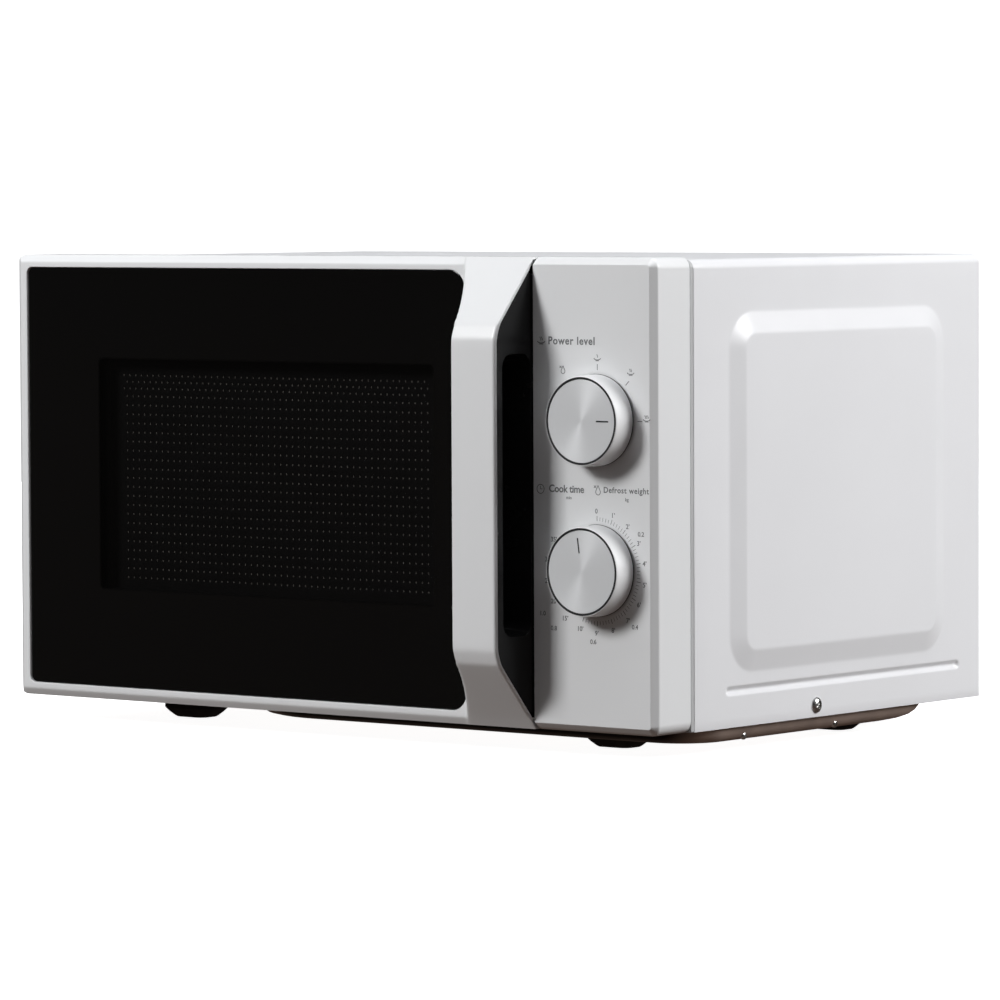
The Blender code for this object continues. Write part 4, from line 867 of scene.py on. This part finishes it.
class Print:
    """Thin raised marks on the panel's face, gathered into one mesh. Places and sizes are in millimetres."""

    def __init__(self):
        self.builder = Builder()

    def stroke(self, points, width):
        """One line of even width through points."""
        sides = []
        for i, (u, v) in enumerate(points):
            before = Vector(points[max(i - 1, 0)])
            after = Vector(points[min(i + 1, len(points) - 1)])
            step = (after - before).normalized() * width / 2
            sides.append(((u - step.y, v + step.x), (u + step.y, v - step.x)))
        outline = [mm(*a) for a, _ in sides] + [mm(*b) for _, b in reversed(sides)]
        self.builder.loft([in_front_plane(outline, y) for y in (INK_FRONT, INK_BACK)])

    def ring(self, centre, radius, width):
        loops = []
        for side, y in ((1, INK_FRONT), (1, INK_BACK), (-1, INK_BACK), (-1, INK_FRONT)):
            outline = circle(mm(*centre), (radius + side * width / 2) * MM, 40)
            loops.append(in_front_plane(outline, y))
        self.builder.loft(loops, ring=True)

    def text(self, words, centre, height, align="CENTER", spacing=1.0, weight=0.024):
        """Words in the plain built-in font, height being that of a capital letter."""
        curve = bpy.data.curves.new("mark", "FONT")
        curve.body = words
        curve.size = height * MM / 0.70
        curve.align_x = align
        curve.align_y = "CENTER"
        curve.resolution_u = 4
        curve.extrude = INK_BACK
        curve.offset = height * MM * weight
        curve.space_character = spacing
        item = add_object("mark", curve)
        graph = bpy.context.evaluated_depsgraph_get()
        mesh = bpy.data.meshes.new_from_object(item.evaluated_get(graph))
        place = Matrix.Translation((centre[0] * MM, FACE, centre[1] * MM))
        mesh.transform(place @ Matrix.Rotation(pi / 2, 4, "X"))
        self.builder.mesh.from_mesh(mesh)
        bpy.data.objects.remove(item, do_unlink=True)
        bpy.data.meshes.remove(mesh)

    def dish(self, centre, size, waves):
        """A bowl with rising heat over it."""
        u, v = centre
        bowl = [(u + size * cos(a), v + size * 0.42 * sin(a)) for a in [pi + pi * k / 12 for k in range(13)]]
        self.stroke(bowl, 0.42)
        self.stroke([(u + side * size * 0.55, v - size * 0.62) for side in (-1, 1)], 0.36)
        for k in range(waves):
            x = u + (k - (waves - 1) / 2) * size * 0.42
            wave = [(x + 0.12 * size * sin(2 * pi * t / 6), v + size * (0.15 + 0.16 * t)) for t in range(6)]
            self.stroke(wave, 0.32)

    def drop(self, centre, size):
        """A drop beside a small cross."""
        u, v = centre
        turns = [0.85 * pi + 1.3 * pi * k / 18 for k in range(19)]
        low = [(u + size * 0.62 * cos(a), v - size * 0.4 + size * 0.62 * sin(a)) for a in turns]
        self.stroke([(u, v + size)] + low + [(u, v + size)], 0.38)
        for first, second in ((1.1, 0.5), (0.5, 1.1)):
            self.stroke([(u - size * first, v + size * 0.95), (u - size * second, v + size * 0.45)], 0.34)


def dial_point(centre, radius, clock):
    """A point round a dial at an angle in degrees clockwise from twelve."""
    return (centre[0] + radius * sin(radians(clock)), centre[1] + radius * cos(radians(clock)))


def make_print():
    marks = Print()
    power = (KNOB_X / MM, POWER_Z / MM)
    timer = (KNOB_X / MM, TIMER_Z / MM)
    scale = (timer[0] - 0.5, timer[1] - 0.3)
    numbers = (timer[0] - 0.9, timer[1] - 1.0)

    def tick(centre, clock, end, width):
        marks.stroke([dial_point(centre, radius, clock) for radius in (25.4, end)], width)

    for clock in (0, 45, 90, 270, 315):
        tick(power, clock, 28.4, 0.42)
    for clock, radius, waves in ((0, 31.4, 1), (41, 32.3, 2), (88, 31.2, 3)):
        marks.dish(dial_point(power, radius, clock), 2.1, waves)
    marks.drop(dial_point(power, 33.5, 319), 2.0)
    for step in range(50):
        end, width = (27.4, 0.22) if step % 5 else (28.0, 0.30)
        tick(scale, step * 4, end, width)
    for clock in (200, 220, 240, 260, 280, 300):
        tick(scale, clock, 27.6, 0.30)
    for minute in range(11):
        marks.text(f"{minute}\u2019" if minute else "0", dial_point(numbers, 31.0, minute * 20), 2.4)
    for step, minute in enumerate((15, 20, 25, 30, 35)):
        marks.text(f"{minute}\u2019", dial_point(numbers, 31.6, 220 + 20 * step), 2.4)
    for label, clock, radius in (("0.2", 55, 33.4), ("0.4", 140, 36.4), ("0.6", 185, 36.6),
                                 ("0.8", 223, 41.8), ("1.0", 237, 42.6)):
        marks.text(label, dial_point(timer, radius, clock), 2.3)
    marks.dish((148.0, 212.6), 2.4, 2)
    marks.text("Power level", (152.4, 212.8), 3.9, "LEFT", 1.13, 0.034)
    marks.ring((147.2, 137.2), 2.3, 0.35)
    marks.stroke([(147.2, 137.1), (147.2, 138.8)], 0.3)
    marks.stroke([(147.1, 137.2), (148.5, 137.2)], 0.3)
    marks.text("Cook time", (152.6, 137.5), 3.7, "LEFT", 0.98, 0.034)
    marks.text("min", (165.5, 133.2), 1.7)
    marks.drop((184.2, 137.6), 2.4)
    marks.text("Defrost weight", (187.6, 137.7), 2.9, "LEFT", 1.13, 0.03)
    marks.text("kg", (202.5, 133.2), 1.7)
    marks.builder.piece("dial_print", "oven", "ink", "black_plastic")


# Knobs -------------------------


def make_knob(word, z, clock):
    """A dial's skirt, rings and spun disc with a pointer slot at an angle clockwise from twelve."""
    centre = (KNOB_X, FACE, z)

    def ring(part, look, slot, profile, nodes=(), angle=30):
        builder = Builder()
        builder.turn(profile, centre, "y", 128)
        return builder.piece(f"{word}_knob_{part}", f"{word}_dial", look, slot, nodes, angle, centre)

    ring("skirt", "silver", "silver_plastic",
         [(23.25, -1.2), (23.25, -2.0), (23.2, -4.5), (23.05, -7.5), (22.9, -10.5), (22.75, -12.6),
          (22.68, -13.3), (22.58, -13.65), (22.45, -13.82), (22.3, -13.85), (22.2, -13.75),
          (22.2, -12.95), (0.0, -12.95), (0.0, -10.6), (20.0, -10.6), (21.4, -1.2)], [f"{word}_knob"], 40)
    # Dark rings: black trim that also paints the gap shadow at the face's rim and at the knob's base.
    ring("dark_ring", "seam_and_shadow", "black_plastic",
         [(22.18, -13.85), (22.05, -13.98), (21.25, -13.98), (21.12, -13.85), (21.12, -13.0), (22.18, -13.0)])
    ring("base_ring", "seam_and_shadow", "black_plastic",
         [(23.30, -0.62), (23.45, -0.75), (23.45, -1.05), (23.25, -1.2), (21.0, -1.2), (21.0, -0.62)])
    disc = ring("disc", "spun", "aluminium",
                [(0.0, -13.72), (20.83, -13.72), (21.03, -13.66), (21.08, -13.5), (21.08, -12.95),
                 (0.0, -12.95)], [f"{word}_knob_face"])
    half = 0.42 * MM
    outline = turned(rounded((9.4 * MM, -half), (17.4 * MM, half), half * 0.98, 5), radians(90 - clock))

    def bar(front, back, lift):
        builder = Builder()
        placed = [(KNOB_X + u, z + v + lift) for u, v in outline]
        builder.loft([in_front_plane(placed, y) for y in mm(front, back)])
        return builder

    cut_from(disc, bar(-15.0, -13.42, 0.0), overlapping=False)
    pointer = bar(-13.60, -13.38, 0.07 * MM)
    pointer.piece(f"{word}_knob_pointer", f"{word}_dial", "seam_and_shadow", "black_plastic", (), 30, centre)


# Base, feet, screws and spring


def make_base():
    """The base tray: a narrow rim, a shelf, and a deep well with slots and pressed ribs in its floor."""
    front, rear = COVER_LOW.y - FACE, COVER_HIGH.y - FACE
    bottom, top = PAN_LOW.z / MM, PAN_HIGH.z / MM
    rim, shelf, corner = 1.7, 14.5, 8.0
    well_left, well_back, well_slope = 112.0, 42.0, 4.5
    well_corners = mm(60, 24, 14, 14)
    levels = [(rim, rim, rim, top), (rim, rim, rim, shelf + 1.6), (rim + 0.5, rim, rim + 0.5, shelf + 0.4),
              (rim + 2.0, rim + 0.1, rim + 2.0, shelf)]
    walls = ((0.3, shelf - 0.2), (1.2, 10.4), (2.2, 8.4), (3.8, 7.0), (6.4, 6.2), (9.2, bottom))
    levels += [(well_left + inset, rim + inset, well_back + well_slope * inset, z) for inset, z in walls]
    builder = Builder()
    rows = builder.stack(in_floor_plane, [
        (rounded((-HALF + left * MM, front + right * MM), (HALF - right * MM, rear - back * MM),
                 well_corners if left > well_left else corner * MM, 12), z * MM)
        for left, right, back, z in levels])
    holes = []
    for first, low, high in ((110, 186, 222), (120, 60, 100)):
        for left in range(first, first + 48, 12):
            slot = rounded(mm(left, low), mm(left + 5, high), 2.4 * MM, 5)
            holes.append(builder.loop(in_floor_plane(slot, PAN_LOW.z)))
    for near in (120, 180):
        rib_box = (mm(-70, near), mm(90, near + 12))
        rib = builder.stack(in_floor_plane, [
            (rounded(*shrunk(*rib_box, by * MM), (6 - by) * MM, 6), PAN_LOW.z + rise * MM)
            for by, rise in ((0.0, 0.0), (1.2, 0.5), (3.0, 1.8))])
        builder.mesh.faces.new(rib[-1])
        holes.append(rib[0])
    builder.fill(rows[-1], *holes)
    thicken(builder.piece("base_tray", "oven", "pan", "zinc", ["base_pan"]), SHEET)


def make_tray_rivets():
    """Button rivets along the tray's lower right edge."""
    builder = Builder()
    dome = [(0.0, 1.0), (0.8, 0.93), (1.5, 0.7), (2.0, 0.3), (2.15, 0.0), (2.15, -0.9), (0.0, -0.9)]
    for y in mm(81, 162):
        builder.turn(dome, (HALF - 3.9 * MM, FACE + y, 8.5 * MM), "x", 24)
    builder.piece("tray_rivets", "oven", "steel", "steel", (), 30)


def make_feet():
    profile = ((9.0, 6.2, 0.0, 4.2), (10.4, 7.4, 0.12, 4.8), (11.3, 8.2, 0.7, 5.0), (13.6, 10.2, 2.9, 5.0),
               (15.4, 11.4, 4.9, 5.0), (15.8, 11.7, 5.6, 5.0), (15.8, 11.7, 14.2, 5.0))
    inwards = 0.972
    for node in ("foot_front_left", "foot_front_right", "foot_rear_left", "foot_rear_right"):
        low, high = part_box(node)
        x, y = (low.x + high.x) / 2 * inwards, (low.y + high.y) / 2
        loops = []
        for half_x, half_y, z, corner in profile:
            outline = rounded(mm(-half_x, -half_y), mm(half_x, half_y), corner * MM)
            loops.append([(x + u, y + v, z * MM) for u, v in outline])
        builder = Builder()
        builder.loft(loops)
        builder.piece(f"{node}_pad", "oven", "rubber", "rubber", [node])


def make_side_screws():
    """Cross-recess screws that hold the cover to the base."""
    for side, word in ((-1, "left"), (1, "right")):
        low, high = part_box(f"side_screw_{word}")
        y, z = (low.y + high.y) / 2, (low.z + high.z) / 2
        profile = [(0.0, 2.05), (1.0, 2.05), (2.0, 1.95), (3.0, 1.55), (3.8, 0.95), (4.2, 0.45), (4.2, 0.05),
                   (1.75, 0.05), (1.75, -5.5), (0.0, -5.9)]
        builder = Builder()
        builder.turn([(r, side * h) for r, h in profile], (side * HALF, y, z), "x", 48)
        screw = builder.piece(f"cover_screw_{word}", "oven", "steel", "steel", [f"side_screw_{word}"], 30)
        cross = Builder()
        xs = sorted(side * (HALF + reach) for reach in mm(0.9, 3.0))
        for turn in (25, 115):
            arm = turned(rounded(mm(-2.3, -0.42), mm(2.3, 0.42), 0.2 * MM, 3), radians(turn))
            cross.loft([[(x, y + u, z + v) for u, v in arm] for x in xs])
        cut_from(screw, cross)


def make_coil():
    """The latch's spring as a real coil."""
    low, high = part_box("latch_spring")
    centre = (low + high) / 2
    wire, turns, steps = 0.45 * MM, 8, 24
    radius = min(high.x - low.x, high.y - low.y) / 2 - wire
    count = steps * turns
    rows = []
    for k in range(count + 1):
        angle = 2 * pi * turns * k / count
        height = low.z + wire + (high.z - low.z - 2 * wire) * k / count
        out = Vector((cos(angle), sin(angle), 0.0))
        middle = Vector((centre.x, centre.y, height)) + out * radius
        rows.append([middle + out * u + Vector((0, 0, v)) for u, v in circle((0, 0), wire, 10)])
    builder = Builder()
    builder.loft(rows)
    coil = builder.piece("latch_coil", "latch", "steel", "steel", ["latch_spring"], 60)
    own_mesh(coil)


# Nodes that show as they are, by look
CARRIED = {
    "cavity": "front_plate cavity_shell cavity_floor cavity_back",
    "zinc": "rear_panel waveguide magnetron fan_motor turntable_motor hinge_bracket_upper "
            "hinge_bracket_lower",
    "rubber": "cord_gland",
    "mica": "waveguide_cover",
    "core": "transformer_core",
    "copper": "transformer_winding",
    "aluminium": "capacitor",
    "board": "filter_board",
    "black": "high_voltage_diode fan_shroud fan_impeller interlock_switch_upper interlock_switch_lower "
             "interlock_switch_monitor",
    "bulb": "cavity_lamp",
    "nylon": "lamp_holder turntable_coupler roller_ring roller_1 roller_2 roller_3 power_selector timer_case "
             "door_latch interlock_bracket",
    "tray": "glass_tray",
    "steel": "power_shaft timer_shaft",
    "film": "inner_window_film",
    "white": "switch_plunger_upper switch_plunger_lower switch_plunger_monitor",
}


def dress_carried():
    for look, nodes in CARRIED.items():
        for node in nodes.split():
            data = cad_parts[node].data
            data.materials.clear()
            data.materials.append(LOOKS[look])
            data.shade_smooth()
            data.set_sharp_from_angle(angle=radians(30))


# Stage, light and camera -------


def make_stage():
    """A pale round bowl: a floor that curves up all round, well outside any camera."""
    flat, rise, height, sides = 5.5, 1.5, 6.0, 96
    path = [(0.8, 0.0), (2.5, 0.0), (flat, 0.0)]
    path += [(flat + rise * sin(a), rise - rise * cos(a)) for a in [pi / 2 * k / 16 for k in range(1, 17)]]
    path.append((flat + rise, height))
    mesh = bmesh.new()
    rows = [[mesh.verts.new((x, y, up - 0.0004)) for x, y in circle((0.0, 0.0), reach, sides)]
            for reach, up in path]
    mesh.faces.new(rows[0])
    for first, second in zip(rows, rows[1:]):
        for k in range(sides):
            mesh.faces.new((first[k - 1], second[k - 1], second[k], first[k]))
    data = bpy.data.meshes.new("studio_sweep")
    mesh.to_mesh(data)
    mesh.free()
    data.shade_smooth()
    floor = add_object("studio_sweep", data)
    pale = add_look("stage", "pale_sweep", (0.90, 0.90, 0.90), 0.9, Emission_Color=(1.0, 1.0, 1.0, 1.0),
                    Emission_Strength=0.95)
    data.materials.append(pale.material)
    floor.visible_diffuse = False
    floor.visible_glossy = False
    floor.visible_shadow = False


def make_world():
    """A dim room that brightens upwards, for the glass and the metal to reflect."""
    world = bpy.data.worlds.new("studio")
    bpy.context.scene.world = world
    world.use_nodes = True
    nodes = world.node_tree.nodes
    links = world.node_tree.links
    split = nodes.new("ShaderNodeSeparateXYZ")
    links.new(nodes.new("ShaderNodeTexCoord").outputs["Generated"], split.inputs[0])
    lift = nodes.new("ShaderNodeMapRange")
    lift.inputs["From Min"].default_value = -1.0
    links.new(split.outputs["Z"], lift.inputs["Value"])
    ramp = nodes.new("ShaderNodeValToRGB")
    links.new(lift.outputs["Result"], ramp.inputs["Fac"])
    stops = ((0.0, (0.075, 0.055, 0.046)), (0.48, (0.050, 0.040, 0.035)), (0.53, (0.012, 0.012, 0.013)),
             (0.62, (0.030, 0.030, 0.032)), (0.8, (0.15, 0.153, 0.16)), (1.0, (0.45, 0.46, 0.48)))
    elements = ramp.color_ramp.elements
    while len(elements) < len(stops):
        elements.new(0.5)
    for element, (position, color) in zip(elements, stops):
        element.position = position
        element.color = (*color, 1.0)
    links.new(ramp.outputs["Color"], nodes["Background"].inputs["Color"])
    nodes["Background"].inputs["Strength"].default_value = 1.0


def add_light(name, azimuth, elevation, size, power, distance=2.6):
    """An area light that looks at the oven's middle; azimuth 0 is straight in front, 90 to the right."""
    data = bpy.data.lights.new(name, "AREA")
    data.shape = "RECTANGLE"
    data.size, data.size_y = size
    data.energy = power
    item = add_object(name, data)
    a, e = radians(azimuth), radians(elevation)
    back = Vector((sin(a) * cos(e), -cos(a) * cos(e), sin(e)))
    item.location = Vector((0.0, 0.0, 0.13)) + back * distance
    item.rotation_mode = "QUATERNION"
    item.rotation_quaternion = (-back).to_track_quat("-Z", "Y")
    item.visible_camera = False
    return item


def make_lights():
    add_light("key", -24, 30, (0.7, 0.7), 48.5)
    add_light("right", 118, 26, (1.2, 1.2), 67)
    add_light("back_fill", 222, 8, (1.2, 1.2), 16).visible_glossy = False
    add_light("overhead", 10, 84, (1.6, 1.6), 19.5)
    add_light("face", -38.6, 44, (0.8, 0.8), 2)
    # The warm light that a table top would throw up at the front's lower edge
    bounce = add_light("table_bounce", 0, 0, (1.2, 0.5), 0.10)
    bounce.data.color = (1.0, 0.76, 0.64)
    bounce.location = (0.1, FACE - 0.10, -0.30)
    bounce.rotation_quaternion = Vector((0.0, -0.25, -1.0)).to_track_quat("Z", "Y")


def make_camera():
    """The photo's camera, found by a fit of the oven's edges."""
    azimuth, pitch, roll = radians(38.578), radians(3.094), radians(-0.260)
    forward = Vector((-sin(azimuth) * cos(pitch), cos(azimuth) * cos(pitch), -sin(pitch)))
    right = Vector((cos(azimuth), sin(azimuth), 0.0))
    up = right.cross(forward)
    across = right * cos(roll) + up * sin(roll)
    upright = up * cos(roll) - right * sin(roll)
    data = bpy.data.cameras.new("camera")
    data.sensor_width = 36.0
    data.lens = 206.03
    data.clip_start = 0.1
    data.clip_end = 100.0
    camera = add_object("camera", data)
    rotation = Matrix((across, upright, -forward)).transposed()
    camera.matrix_world = Matrix.Translation((1.94902, -2.43111, 0.28918)) @ rotation.to_4x4()
    bpy.context.scene.camera = camera


def main():
    make_looks()
    dress_carried()
    make_cover()
    make_hem()
    make_door_frame()
    make_door_glass()
    make_mesh_screen()
    make_handle_liner()
    make_door_back()
    make_panel()
    make_print()
    make_knob("power", POWER_Z, 90)
    make_knob("timer", TIMER_Z, -8.6)
    make_base()
    make_tray_rivets()
    make_feet()
    make_side_screws()
    make_coil()
    settle_normals()
    make_stage()
    make_world()
    make_lights()
    make_camera()
    bpy.context.scene.view_settings.view_transform = "Standard"


main()
